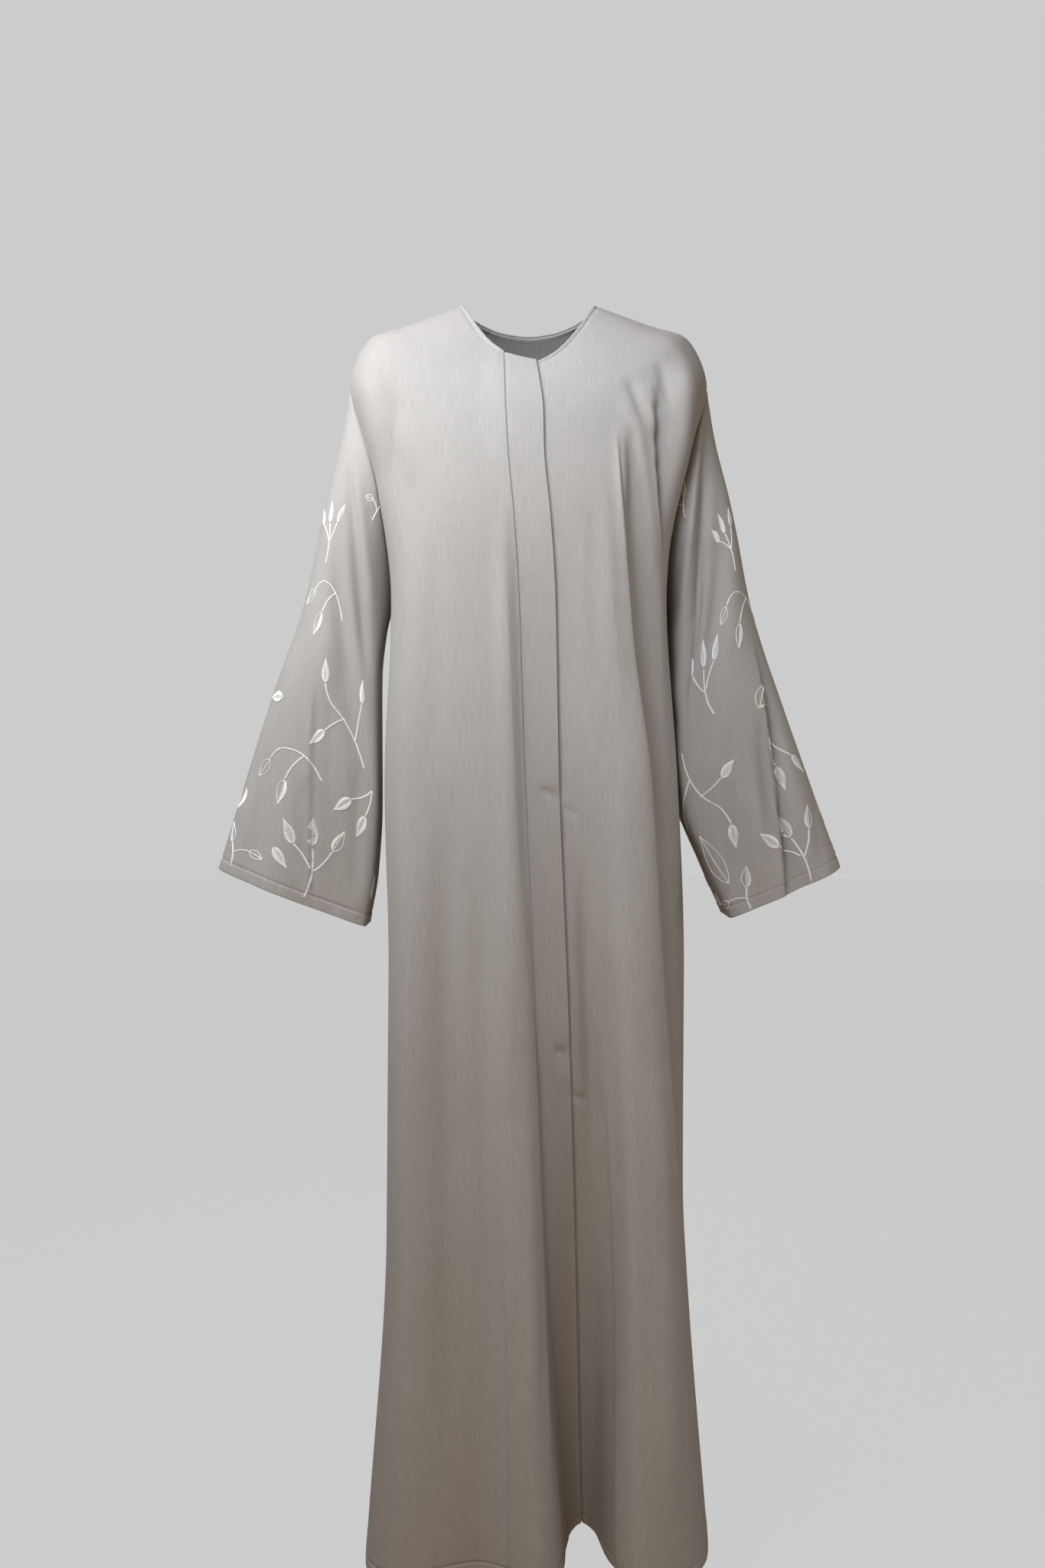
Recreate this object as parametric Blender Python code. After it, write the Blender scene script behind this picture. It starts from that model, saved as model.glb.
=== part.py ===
"""Abaya cloak, worn form: two fronts, a placket strip over the front opening, one back, two long sleeves.

Every piece is a cloth wall lofted through the folds that the garment hangs in. The body is described by
LEVELS, the rings from the neck to the hem, and by FOLDS, the ridges and valleys that run down through them.
The sleeves are described by sections between their outer and inner edges, and by creases pressed into them.

Axes: +Z up, the front faces -Y, +X is the wearer's left. The origin lies between the high shoulder points.
Tables are in centimetres and degrees; the meshes are in metres.
"""

import bmesh
import bpy
import numpy as np

# Driving dimensions
CM = 0.01
WALL = 0.20            # cloth wall, doubled cloth and facings included
SEAM_GAP = 0.03        # between sewn pieces
HEM_Z = -142.0
CHEST_Z, UNDERARM_Z, WAIST_Z, HIP_Z, KNEE_Z = -28.0, -36.0, -57.0, -80.0, -108.0

PLACKET_WALL = 0.20
PLACKET_RISE = SEAM_GAP + PLACKET_WALL    # the strip's face over the front that it lies on
EXTENSION = 0.82       # how much of the strip's width the left front reaches under it
PRESSED_RUN = 0.5      # the right front rises to the strip over this share of a fold's width

ARMHOLE_TOP, ARMHOLE_BOTTOM = 16.0, 39.5  # on the "down" scale of LEVELS
ARMHOLE_FRONT, ARMHOLE_BACK = 0.66, 0.60  # cut-in, as a share of the distance to the next fold
ARMHOLE_ROUND = 0.55                      # 1 is a pointed leaf, towards 0 a rectangle

YOKE_ROWS, ARMHOLE_ROWS, SKIRT_ROWS = 6, 11, 17
COLUMNS_PER_FOLD = 3
SLEEVE_ROWS = 18
SLEEVE_POINT_TOP, SLEEVE_POINT_CUFF = 0.85, 1.12   # under 1 the section is boxy, over 1 it has pointed edges
SLEEVE_BLEND = 0.22    # the share of the sleeve that eases from the armhole's curve into its sections

# Rings from the neck down to the armhole's top, by formula. From the chest down, FOLDS gives the ring.
# name, down, half width, front y, back y, front z, side z, back z, squareness
LEVELS = (
    ("neck",          0.0,  8.0,  -7.6,  6.4,  -9.0,   0.0,  -1.8, 1.00),
    ("yoke",          6.5, 14.8,  -9.8,  9.2, -12.2,  -2.5,  -5.2, 0.90),
    ("shoulder_edge", 10.5, 18.9, -11.0, 10.4, -15.2,  -3.9,  -9.0, 0.85),
    ("armhole_top",   16.0, 21.4, -12.3, 11.2, -20.0,  -9.8, -15.0, 0.85),
)
SIDE_Y = 0.8
HEM_SIDE_DROP = 1.5    # the hem hangs this much lower at the sides than at the front and back
CHEST_SIDE_Z, CHEST_BACK_Z = -22.0, -25.0
DOWN_CHEST, DOWN_UNDERARM, DOWN_WAIST, DOWN_HIP, DOWN_KNEE, DOWN_HEM = 27.0, 39.5, 60.0, 83.0, 111.0, 145.0

# Fold lines around the body, from the wearer's right side seam across the front and round the back.
# name, degrees at the neck, degrees at the shoulder, then x, y at chest, underarm, waist, hip, knee, hem
FOLDS = (
    ("side_right",    -90, -90.0, -18.0,   0.8, -16.4,   0.8, -16.5,   0.8, -16.4,   1.2, -16.6,   2.0, -18.8,   2.6),
    ("front_edge_r",  -76, -62.0, -17.2,  -6.3, -15.9,  -5.5, -16.7,  -5.0, -15.8, -10.0, -15.8, -12.0, -17.8, -14.5),
    ("left_edge",     -62, -42.0, -13.4, -10.6, -13.5, -11.5, -14.4, -12.8, -13.0, -15.6, -12.7, -17.0, -13.0, -18.8),
    ("left_valley",   -46, -20.0,  -8.5, -13.0,  -8.3, -13.6,  -8.2, -15.0,  -7.7, -16.1,  -7.0, -16.9,  -5.5, -17.2),
    ("left_ridge",    -35,  -9.5,  -4.6, -13.6,  -4.0, -14.3,  -3.4, -16.0,  -2.4, -17.6,  -1.2, -19.4,   0.8, -21.2),
    ("left_lip",      -27,  -6.2,  -2.9, -13.4,  -2.3, -14.0,  -1.6, -15.3,  -0.4, -16.4,   1.2, -17.2,   3.8, -16.6),
    ("stitch",        -21,  -4.2,  -1.6, -13.4,  -1.1, -13.9,  -0.4, -15.0,   0.5, -15.6,   1.8, -14.4,   4.2, -10.8),
    ("opening",         6,   2.9,   2.4, -13.6,   2.9, -14.0,   3.3, -15.0,   4.2, -15.0,   5.1, -12.6,   5.9,  -7.4),
    ("right_floor",    15,   6.6,   4.4, -13.6,   4.7, -14.1,   5.4, -15.3,   6.3, -14.9,   6.9, -13.0,   7.4,  -9.3),
    ("right_lip",      24,  10.9,   6.2, -13.6,   6.7, -14.3,   7.6, -15.8,   8.4, -16.0,   9.0, -15.4,   8.7, -16.0),
    ("right_ridge",    33,  16.7,   8.3, -13.5,   8.9, -14.4,  10.0, -16.2,  11.0, -17.4,  11.5, -18.8,  11.9, -21.0),
    ("fold_a",         43,  25.0,  10.6, -12.7,  11.0, -13.3,  12.5, -14.6,  14.9, -14.5,  16.2, -15.8,  17.4, -18.2),
    ("valley_a",       49,  28.5,  11.4, -11.0,  12.1, -11.3,  13.8, -11.2,  15.9, -11.0,  17.3, -12.0,  19.6, -14.0),
    ("fold_b",         56,  34.0,  14.4, -10.2,  15.1,  -9.5,  15.4, -10.6,  17.4,  -7.5,  17.9,  -6.5,  20.3,  -8.5),
    ("front_edge_l",   74,  62.0,  17.3,  -6.5,  16.0,  -5.5,  17.1,  -7.0,  18.2,  -3.5,  18.2,  -2.0,  20.7,  -3.0),
    ("side_left",      90,  90.0,  18.0,   0.8,  16.4,   0.8,  16.5,   0.8,  18.0,   1.2,  18.3,   1.8,  20.8,   2.6),
    ("back_edge_l",   108, 112.0,  17.0,   7.0,  15.7,   7.0,  15.8,   7.0,  17.2,   7.2,  17.8,   8.5,  19.8,   9.8),
    ("back_ridge_1",  124, 130.0,  12.8,  10.6,  12.7,  10.6,  13.0,  10.8,  14.0,  12.0,  14.4,  13.2,  15.4,  15.0),
    ("back_valley_1", 140, 146.0,   9.2,  11.5,   9.2,  11.1,   9.4,  10.8,  10.2,  11.0,  10.2,  11.4,  10.4,  11.8),
    ("back_ridge_2",  158, 163.0,   5.2,  11.9,   5.2,  11.8,   5.2,  11.8,   5.6,  12.9,   5.4,  14.2,   5.2,  16.0),
    ("back_centre",   180, 180.0,   0.2,  12.0,   0.2,  11.6,   0.2,  11.2,   0.6,  11.5,   0.4,  12.0,  -0.2,  12.4),
    ("back_ridge_3",  202, 197.0,  -4.8,  11.9,  -5.0,  11.8,  -5.2,  11.9,  -5.4,  13.0,  -5.8,  14.4,  -6.2,  16.2),
    ("back_valley_2", 220, 214.0,  -9.0,  11.5,  -9.2,  11.1,  -9.4,  10.8,  -9.6,  11.0, -10.0,  11.4, -10.8,  12.0),
    ("back_ridge_4",  236, 230.0, -12.6,  10.6, -12.6,  10.6, -12.6,  10.7, -13.0,  11.8, -13.6,  13.0, -14.6,  14.8),
    ("back_edge_r",   252, 248.0, -17.0,   7.0, -15.7,   7.0, -15.7,   7.0, -15.8,   7.2, -16.2,   8.2, -17.8,   9.6),
)

# Sleeve sections, from the armhole to the cuff.
# share of the length, outer x, outer z, inner x, inner z, y of the middle, depth in front, depth behind
SLEEVE_LEFT = (
    (0.00, 21.4,  -9.8, 17.0, -36.0,  0.8, 4.6, 4.6),
    (0.10, 22.2, -15.6, 17.5, -40.0,  0.5, 5.9, 6.2),
    (0.25, 24.2, -25.0, 17.7, -45.5,  0.0, 6.6, 6.8),
    (0.45, 26.3, -36.2, 17.8, -52.5, -0.5, 6.9, 7.0),
    (0.65, 29.6, -46.8, 18.4, -60.0, -0.9, 7.4, 7.2),
    (0.83, 33.1, -57.0, 20.3, -66.6, -1.2, 7.9, 7.6),
    (1.00, 36.6, -66.9, 23.0, -72.7, -1.4, 8.4, 8.0),
)
SLEEVE_RIGHT = (
    (0.00, -21.4,  -9.8, -17.0, -36.0,  0.8, 4.6, 4.6),
    (0.10, -22.3, -15.6, -17.5, -40.0,  0.5, 5.9, 6.2),
    (0.25, -24.3, -25.0, -17.6, -45.5,  0.0, 6.4, 6.5),
    (0.45, -26.6, -36.2, -17.5, -52.5, -0.7, 6.4, 6.5),
    (0.65, -30.2, -46.8, -17.4, -60.0, -1.2, 6.4, 6.5),
    (0.83, -33.4, -57.0, -17.8, -67.6, -1.5, 6.4, 6.6),
    (1.00, -36.5, -67.2, -18.8, -73.8, -1.7, 6.4, 6.8),
)
# Creases, by their angle round the sleeve: 0 is the outer edge, 90 the front, 180 the inner edge, 270 the back.
# name, share where it starts, share where it ends, angle there, angle there, half width in degrees, depth
CREASES_LEFT = (
    ("upper_front", 0.10, 0.70,  38, 165, 24, 0.9),
    ("wing",        0.55, 1.30,  64,  84, 17, 1.6),
    ("lower_front", 0.60, 1.30, 118, 128, 20, 0.5),
    ("back_long",   0.20, 1.30, 300, 272, 24, 1.1),
    ("back_inner",  0.45, 1.30, 232, 225, 20, 0.9),
)
CREASES_RIGHT = (
    ("upper_front", 0.10, 0.70,  40, 160, 24, 0.8),
    ("wing",        0.60, 1.30,  48,  58, 18, 0.7),
    ("lower_front", 0.65, 1.30, 120, 128, 22, 0.4),
    ("back_long",   0.20, 1.30, 298, 275, 24, 1.1),
    ("back_inner",  0.45, 1.30, 236, 226, 20, 0.9),
)

CLOTH_COLOUR = (0.56, 0.535, 0.50, 1.0)
CLOTH_ROUGHNESS = 0.9

COLUMN = {row[0]: index for index, row in enumerate(FOLDS)}
FULL_TURN = len(FOLDS)


def through(places, values, wanted):
    """Monotone cubic through values at places, so that a ridge or valley lies on its own row of the table."""
    places, values, wanted = (np.asarray(item, float) for item in (places, values, wanted))
    trail = (1,) * (values.ndim - 1)
    step = np.diff(places).reshape((-1,) + trail)
    rise = np.diff(values, axis=0) / step
    slope = np.zeros_like(values)
    same_way = rise[:-1] * rise[1:] > 0
    weight_a, weight_b = 2 * step[1:] + step[:-1], step[1:] + 2 * step[:-1]
    safe = np.where(same_way, rise[:-1], 1.0), np.where(same_way, rise[1:], 1.0)
    inner = (weight_a + weight_b) / (weight_a / safe[0] + weight_b / safe[1])
    slope[1:-1] = np.where(same_way, inner, 0.0)
    slope[0], slope[-1] = rise[0], rise[-1]
    cell = np.clip(np.searchsorted(places, wanted, side="right") - 1, 0, len(places) - 2)
    width = (places[cell + 1] - places[cell]).reshape((-1,) + trail)
    part = (wanted - places[cell]).reshape((-1,) + trail) / width
    return (values[cell] * (1 + 2 * part) * (1 - part) ** 2 + slope[cell] * width * part * (1 - part) ** 2
            + values[cell + 1] * part ** 2 * (3 - 2 * part) + slope[cell + 1] * width * part ** 2 * (part - 1))


def ease(share):
    """0 to 1 with level ends."""
    share = np.clip(share, 0.0, 1.0)
    return share * share * (3 - 2 * share)


def unit(vectors):
    return vectors / np.linalg.norm(vectors, axis=-1, keepdims=True)


def upper_ring(level):
    """The ring's points on every fold line, where the cloth lies smooth over the shoulders."""
    _, _, half_width, front_y, back_y, front_z, side_z, back_z, square = level
    neck_half, top_half = LEVELS[0][2], LEVELS[-1][2]
    spread = (1 / neck_half - 1 / half_width) / (1 / neck_half - 1 / top_half)
    points = []
    for row in FOLDS:
        angle = np.radians(row[1] + (row[2] - row[1]) * spread)
        across, along = np.sin(angle), np.cos(angle)
        end_y, end_z = (front_y, front_z) if along > 0 else (back_y, back_z)
        x = half_width * np.sign(across) * abs(across) ** square
        y = SIDE_Y + (end_y - SIDE_Y) * abs(along) ** square
        points.append((x, y, side_z + (end_z - side_z) * along * along))
    return points


def lower_ring(number, z, side_drop=0.0):
    """The ring's points on every fold line, read from FOLDS."""
    return [(row[3 + 2 * number], row[4 + 2 * number], z - side_drop * np.sin(np.radians(row[2])) ** 2)
            for row in FOLDS]


def chest_ring():
    """As lower_ring, but higher at the sides, where the armholes are."""
    points = []
    for (x, y, _), row in zip(lower_ring(0, CHEST_Z), FOLDS):
        along = np.cos(np.radians(row[2]))
        end_z = CHEST_Z if along > 0 else CHEST_BACK_Z
        points.append((x, y, CHEST_SIDE_Z + (end_z - CHEST_SIDE_Z) * along * along))
    return points


RINGS_DOWN = [level[1] for level in LEVELS] + [
    DOWN_CHEST, DOWN_UNDERARM, DOWN_WAIST, DOWN_HIP, DOWN_KNEE, DOWN_HEM]
RINGS = np.array([upper_ring(level) for level in LEVELS] + [chest_ring()] + [
    lower_ring(number, z) for number, z in enumerate((UNDERARM_Z, WAIST_Z, HIP_Z, KNEE_Z), start=1)] + [
    lower_ring(5, HEM_Z, HEM_SIDE_DROP)])


def body_points(down, columns):
    """Points of the body's surface. down has one value for each row, columns one list for each row."""
    knots = through(RINGS_DOWN, RINGS, down)
    wrap = 4
    places = np.arange(-wrap, FULL_TURN + wrap + 1)
    looped = knots[:, places % FULL_TURN]
    return np.array([through(places, ring, row) for ring, row in zip(looped, columns)])


def body_normals(down, columns):
    """Outward unit normals of the body's surface at the same places."""
    small = 0.02
    low = np.clip(np.asarray(down) - small, 0, DOWN_HEM)
    high = np.clip(np.asarray(down) + small, 0, DOWN_HEM)
    along = body_points(high, columns) - body_points(low, columns)
    across = body_points(down, columns + small) - body_points(down, columns - small)
    return unit(np.cross(along, across))


def armhole_share(down):
    """0 above and below the armhole, up to 1 at its middle."""
    share = np.clip((np.asarray(down) - ARMHOLE_TOP) / (ARMHOLE_BOTTOM - ARMHOLE_TOP), 0.0, 1.0)
    return np.sin(np.pi * share) ** ARMHOLE_ROUND


def body_rows():
    """Down values of the rows, closer together at the ends of the armhole."""
    turn = (1 - np.cos(np.pi * np.linspace(0, 1, ARMHOLE_ROWS + 1))) / 2
    even = np.linspace(0, 1, ARMHOLE_ROWS + 1)
    armhole = ARMHOLE_TOP + (ARMHOLE_BOTTOM - ARMHOLE_TOP) * (turn + even) / 2
    yoke = np.linspace(0, ARMHOLE_TOP, YOKE_ROWS + 1)[:-1]
    skirt = np.linspace(ARMHOLE_BOTTOM, DOWN_HEM, SKIRT_ROWS + 1)[1:]
    return np.concatenate([yoke, armhole, skirt])


def even_columns(first, last):
    """Places of columns between two fold lines, both included."""
    return np.linspace(first, last, max(2, round((last - first) * COLUMNS_PER_FOLD)) + 1)


def panel_columns(down, even, first_cut, last_cut):
    """A panel's columns, one list for each row, drawn in where the armhole is cut."""
    first, last = even[0], even[-1]
    cut = armhole_share(down)[:, None]
    squeezed = 2.0
    from_first = np.clip(1 - (even - first) / squeezed, 0, 1)
    from_last = np.clip(1 - (last - even) / squeezed, 0, 1)
    return even + cut * (first_cut * from_first - last_cut * from_last)


def new_cloth(name, outer, inner, closed_across):
    """A closed wall between two grids of points; closed_across makes it a tube."""
    rows, columns = outer.shape[:2]
    mesh = bmesh.new()
    skins = [[[mesh.verts.new(point * CM) for point in row] for row in grid] for grid in (outer, inner)]
    pairs = [(c, (c + 1) % columns) for c in range(columns if closed_across else columns - 1)]
    for r in range(rows - 1):
        for a, b in pairs:
            mesh.faces.new([skins[0][r][a], skins[0][r + 1][a], skins[0][r + 1][b], skins[0][r][b]])
            mesh.faces.new([skins[1][r][a], skins[1][r][b], skins[1][r + 1][b], skins[1][r + 1][a]])
    for r in (0, rows - 1):
        for a, b in pairs:
            mesh.faces.new([skins[0][r][a], skins[0][r][b], skins[1][r][b], skins[1][r][a]])
    if not closed_across:
        for c in (0, columns - 1):
            for r in range(rows - 1):
                mesh.faces.new([skins[0][r][c], skins[0][r + 1][c], skins[1][r + 1][c], skins[1][r][c]])
    bmesh.ops.recalc_face_normals(mesh, faces=mesh.faces)
    data = bpy.data.meshes.new(name)
    mesh.to_mesh(data)
    mesh.free()
    piece = bpy.data.objects.new(name, data)
    material = bpy.data.materials.new(name)
    material.use_nodes = True
    shader = material.node_tree.nodes["Principled BSDF"]
    shader.inputs["Base Color"].default_value = CLOTH_COLOUR
    shader.inputs["Roughness"].default_value = CLOTH_ROUGHNESS
    data.materials.append(material)
    return piece


def sleeve_surface(sections, creases, share, angle):
    """Points of a sleeve, before it is eased into its armhole. share is per row, angle per row and column."""
    table = np.array(sections)
    values = through(table[:, 0], table[:, 1:], share)
    outer = values[:, [0, 1]]
    inner = values[:, [2, 3]]
    middle_y, front, back = (values[:, [column]] for column in (4, 5, 6))
    swing, face = np.cos(angle), np.sin(angle)
    half, middle = (outer - inner) / 2, (outer + inner) / 2
    flat = middle[:, None, :] + half[:, None, :] * swing[..., None]
    point = SLEEVE_POINT_TOP + (SLEEVE_POINT_CUFF - SLEEVE_POINT_TOP) * share[:, None]
    depth = np.where(face > 0, -front, back) * np.abs(face) ** point
    points = np.stack([flat[..., 0], middle_y + depth, flat[..., 1]], axis=-1)
    inward = unit(np.concatenate([middle, middle_y], axis=1)[:, None, [0, 2, 1]] - points)
    for _, start, end, start_angle, end_angle, half_width, crease_depth in creases:
        way = np.clip((share - start) / (end - start), 0, 1)
        centre = np.radians(start_angle + (end_angle - start_angle) * way)[:, None]
        off = (angle - centre + np.pi) % (2 * np.pi) - np.pi
        shape = np.exp(-(off / np.radians(half_width)) ** 2)
        fade = ease((share - start) / 0.25) * ease((end - share) / 0.2)
        points = points + inward * (shape * crease_depth * fade[:, None])[..., None]
    return points


def loop_lengths(loop):
    """Angle round the loop at each of its points, by its length: 0 at the first, 180 at the middle one."""
    half = len(loop) // 2
    steps = np.linalg.norm(np.roll(loop, -1, axis=0) - loop, axis=1)
    front, back = np.cumsum(steps[:half]), np.cumsum(steps[half:])
    return np.concatenate([[0.0], front / front[-1] * np.pi, np.pi + back[:-1] / back[-1] * np.pi])


def armhole_loop(down, wearers_left):
    """Points and normals of the body's surface round one armhole: down its front, then up its back."""
    side = COLUMN["side_left"] if wearers_left else FULL_TURN
    outward = 1 if wearers_left else -1
    cut = armhole_share(down)[:, None]
    front = side - outward * ARMHOLE_FRONT * cut
    back = side + outward * ARMHOLE_BACK * cut
    places = [(row, column) for row, column in zip(down, front)]
    places += [(row, column) for row, column in list(zip(down, back))[-2:0:-1]]
    rows = np.array([row for row, _ in places])
    columns = np.array([column for _, column in places])
    return body_points(rows, columns)[:, 0], body_normals(rows, columns)[:, 0]


def make_sleeve(name, sections, creases, down, wearers_left):
    """A sleeve's wall, and the seam that it shares with the fronts and back."""
    loop, body_normal = armhole_loop(down, wearers_left)
    share = np.linspace(0, 1, SLEEVE_ROWS + 1) ** 1.1
    angle = np.tile(loop_lengths(loop), (len(share), 1))
    points = sleeve_surface(sections, creases, share, angle)
    hold = (1 - ease(share / SLEEVE_BLEND))[:, None, None]
    points = points + hold * (loop - points[0])[None]
    along = np.gradient(points, axis=0)
    around = np.roll(points, -1, axis=1) - np.roll(points, 1, axis=1)
    normals = unit(np.cross(along, around))
    if wearers_left:
        normals = -normals
    seam_normal = unit(body_normal + normals[0])
    normals[0] = seam_normal
    tangent = np.roll(loop, -1, axis=0) - np.roll(loop, 1, axis=0)
    towards_sleeve = unit(np.cross(seam_normal, tangent))
    if np.sum(towards_sleeve * along[0]) < 0:
        towards_sleeve = -towards_sleeve
    points[0] += towards_sleeve * SEAM_GAP / 2
    new = new_cloth(name, points, points - normals * WALL, closed_across=True)
    return new, seam_normal, loop - towards_sleeve * SEAM_GAP / 2


def make_panel(name, down, columns, lift=0.0, seams=()):
    """A body panel's wall. seams holds (column index, armhole rows, points, normals) from the sleeves."""
    points = body_points(down, columns)
    normals = body_normals(down, columns)
    points = points + normals * lift
    for edge, inside in ((0, 1), (-1, -2)):
        points[:, edge] += unit(points[:, inside] - points[:, edge]) * SEAM_GAP / 2
    for edge, rows, seam_points, seam_normals in seams:
        pulled = points[rows, edge] - body_points(down, columns)[rows, edge]
        points[rows, edge] = seam_points
        points[rows[0], edge] += pulled[0]
        points[rows[-1], edge] += pulled[-1]
        normals[rows, edge] = seam_normals
    return new_cloth(name, points, points - normals * WALL, closed_across=False)


def make_placket(down, columns):
    """The strip over the opening, from the panel's own points moved out."""
    points = body_points(down, columns)
    normals = body_normals(down, columns)
    points[:, 0] += unit(points[:, 1] - points[:, 0]) * SEAM_GAP / 2
    under = points + normals * SEAM_GAP
    return new_cloth("placket", under + normals * PLACKET_WALL, under, closed_across=False)


def build():
    for old in list(bpy.data.objects):
        bpy.data.objects.remove(old, do_unlink=True)
    down = body_rows()
    hole_rows = np.arange(YOKE_ROWS, YOKE_ROWS + ARMHOLE_ROWS + 1)
    hole_down = down[hole_rows]
    stitch, opening = COLUMN["stitch"], COLUMN["opening"]
    side_l = COLUMN["side_left"]
    sleeve_l, normals_l, seam_l = make_sleeve("sleeve_left", SLEEVE_LEFT, CREASES_LEFT, hole_down, True)
    sleeve_r, normals_r, seam_r = make_sleeve("sleeve_right", SLEEVE_RIGHT, CREASES_RIGHT, hole_down, False)
    front_half = np.arange(len(hole_rows))
    back_half = np.concatenate([[0], np.arange(len(seam_l) - 1, len(hole_rows) - 2, -1)])

    right_columns = panel_columns(down, even_columns(0, stitch), ARMHOLE_FRONT, 0)
    rise = PLACKET_RISE * ease(1 - (stitch - right_columns) / PRESSED_RUN)[..., None]
    front_right = make_panel("front_right", down, right_columns, rise,
                             [(0, hole_rows, seam_r[front_half], normals_r[front_half])])
    under_strip = even_columns(opening - EXTENSION, opening)
    left_columns = np.concatenate([under_strip, even_columns(opening, side_l)[1:]])
    left_columns = panel_columns(down, left_columns, 0, ARMHOLE_FRONT)
    front_left = make_panel("front_left", down, left_columns, 0.0,
                            [(-1, hole_rows, seam_l[front_half], normals_l[front_half])])
    back_columns = panel_columns(down, even_columns(side_l, FULL_TURN), ARMHOLE_BACK, ARMHOLE_BACK)
    back = make_panel("back", down, back_columns, 0.0,
                      [(0, hole_rows, seam_l[back_half], normals_l[back_half]),
                       (-1, hole_rows, seam_r[back_half], normals_r[back_half])])
    placket = make_placket(down, np.tile(np.concatenate([[stitch], under_strip]), (len(down), 1)))

    garment = bpy.data.collections.new("abaya_cloak")
    bpy.context.scene.collection.children.link(garment)
    for piece in (front_right, front_left, placket, back, sleeve_r, sleeve_l):
        garment.objects.link(piece)


build()
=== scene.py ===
# %% [markdown]
# # An abaya cloak in its worn form
# An abaya is a floor-length cloak that opens down the front. Its maker cuts two fronts, one back and two
# wide sleeves from a linen-look cloth, folds a placket that hides the snaps, and has the sleeves embroidered
# with sprigs of leaves before they are sewn on. Here each cut piece is a thin sheet of cloth, laid on the
# same folds as the solid model, so that the two agree in size and place.

import bmesh
import bpy
import numpy as np
from mathutils import Matrix, Vector
from mathutils.kdtree import KDTree


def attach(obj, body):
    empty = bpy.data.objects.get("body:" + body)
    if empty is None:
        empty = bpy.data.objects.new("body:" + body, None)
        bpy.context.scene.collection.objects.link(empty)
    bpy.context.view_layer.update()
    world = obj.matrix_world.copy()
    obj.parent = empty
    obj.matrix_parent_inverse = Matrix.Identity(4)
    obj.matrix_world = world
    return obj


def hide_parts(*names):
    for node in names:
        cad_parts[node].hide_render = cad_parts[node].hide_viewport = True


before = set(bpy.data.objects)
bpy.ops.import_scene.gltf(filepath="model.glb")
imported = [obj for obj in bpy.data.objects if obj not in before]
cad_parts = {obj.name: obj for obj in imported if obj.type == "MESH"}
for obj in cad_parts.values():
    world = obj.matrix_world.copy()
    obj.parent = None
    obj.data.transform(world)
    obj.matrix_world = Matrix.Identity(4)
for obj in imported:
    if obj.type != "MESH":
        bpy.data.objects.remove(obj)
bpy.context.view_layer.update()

# %% [markdown]
# ## The camera
# The camera comes first, because every fold is judged through it. It stands at the height of the wearer's
# waist and looks level, because a tilted camera would draw the long skirt narrower at one end. The lens
# follows from how large one centimetre looks: a longer lens from further away would flatten the sleeves.

# %% Camera
CAMERA_PLACE = (-0.007, -1.70, -0.574)
LENS_MM, SENSOR_MM = 32.57, 36.0
QUARTER_TURN = np.pi / 2


def add_object(name, data):
    """Puts a camera, a lamp or a mesh into the scene as a new object."""
    made = bpy.data.objects.new(name, data)
    bpy.context.scene.collection.objects.link(made)
    return made


camera_data = bpy.data.cameras.new("camera")
camera_data.lens = LENS_MM
camera_data.sensor_width = SENSOR_MM
camera = add_object("camera", camera_data)
camera.location = CAMERA_PLACE
camera.rotation_euler = (QUARTER_TURN, 0.0, 0.0)
bpy.context.scene.camera = camera
bpy.context.scene.view_settings.view_transform = "Standard"
print("camera at", CAMERA_PLACE, "lens", LENS_MM, "mm")

# %% [markdown]
# ## Colours and nodes
# Colours are picked as sRGB hex values, because that is how a dyer's card gives them, and one function turns
# them into the linear values that Blender's shaders add and multiply. A second small function adds a node,
# sets its values and links its inputs in one line, so that a material reads from its thread to its surface.

# %% Colour and node helpers
CLOTH_COLOUR = "#AAA59F"


def linear(hex_colour):
    """The linear RGBA of an sRGB hex colour."""
    parts = [int(hex_colour[place:place + 2], 16) / 255 for place in (1, 3, 5)]
    curve = [part / 12.92 if part <= 0.04045 else ((part + 0.055) / 1.055) ** 2.4 for part in parts]
    return (*curve, 1.0)


def add_node(tree, kind, inputs=(), **settings):
    """Adds a node. Settings are its own properties; inputs are values, or other nodes' sockets to link."""
    node = tree.nodes.new("ShaderNode" + kind)
    for name, value in settings.items():
        setattr(node, name, value)
    for name, value in dict(inputs).items():
        if isinstance(value, bpy.types.NodeSocket):
            tree.links.new(value, node.inputs[name])
        else:
            node.inputs[name].default_value = value
    return node


def new_material(name):
    """An empty material, with its node tree and its surface shader."""
    material = bpy.data.materials.new(name)
    material.use_nodes = True
    return material, material.node_tree, material.node_tree.nodes["Principled BSDF"]


print("cloth colour", [round(value, 3) for value in linear(CLOTH_COLOUR)])

# %% [markdown]
# ## Linen-look cloth
# The cloth is a plain weave of polyester and viscose spun with slubs, the short thick places that make linen
# look like linen. The eye gets fine lines that run down the cloth, a weaker set across it, and a dry, matte
# surface with a faint bloom at the edges. A plain weave is a checkerboard of threads that pass over and
# under. The product of two sine waves gives that checkerboard, and its sign says which thread lies on top.

# %% Linen-look cloth
THREAD_MM = 0.9     # the real threads are 0.45 mm apart, drawn twice as coarse so that they show
SLUB_WIDE_MM, SLUB_LONG_MM = 1.0, 30.0
ACROSS_SHORTER = 0.6    # slubs of the threads that run across are this much shorter
MM = 0.001


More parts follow.
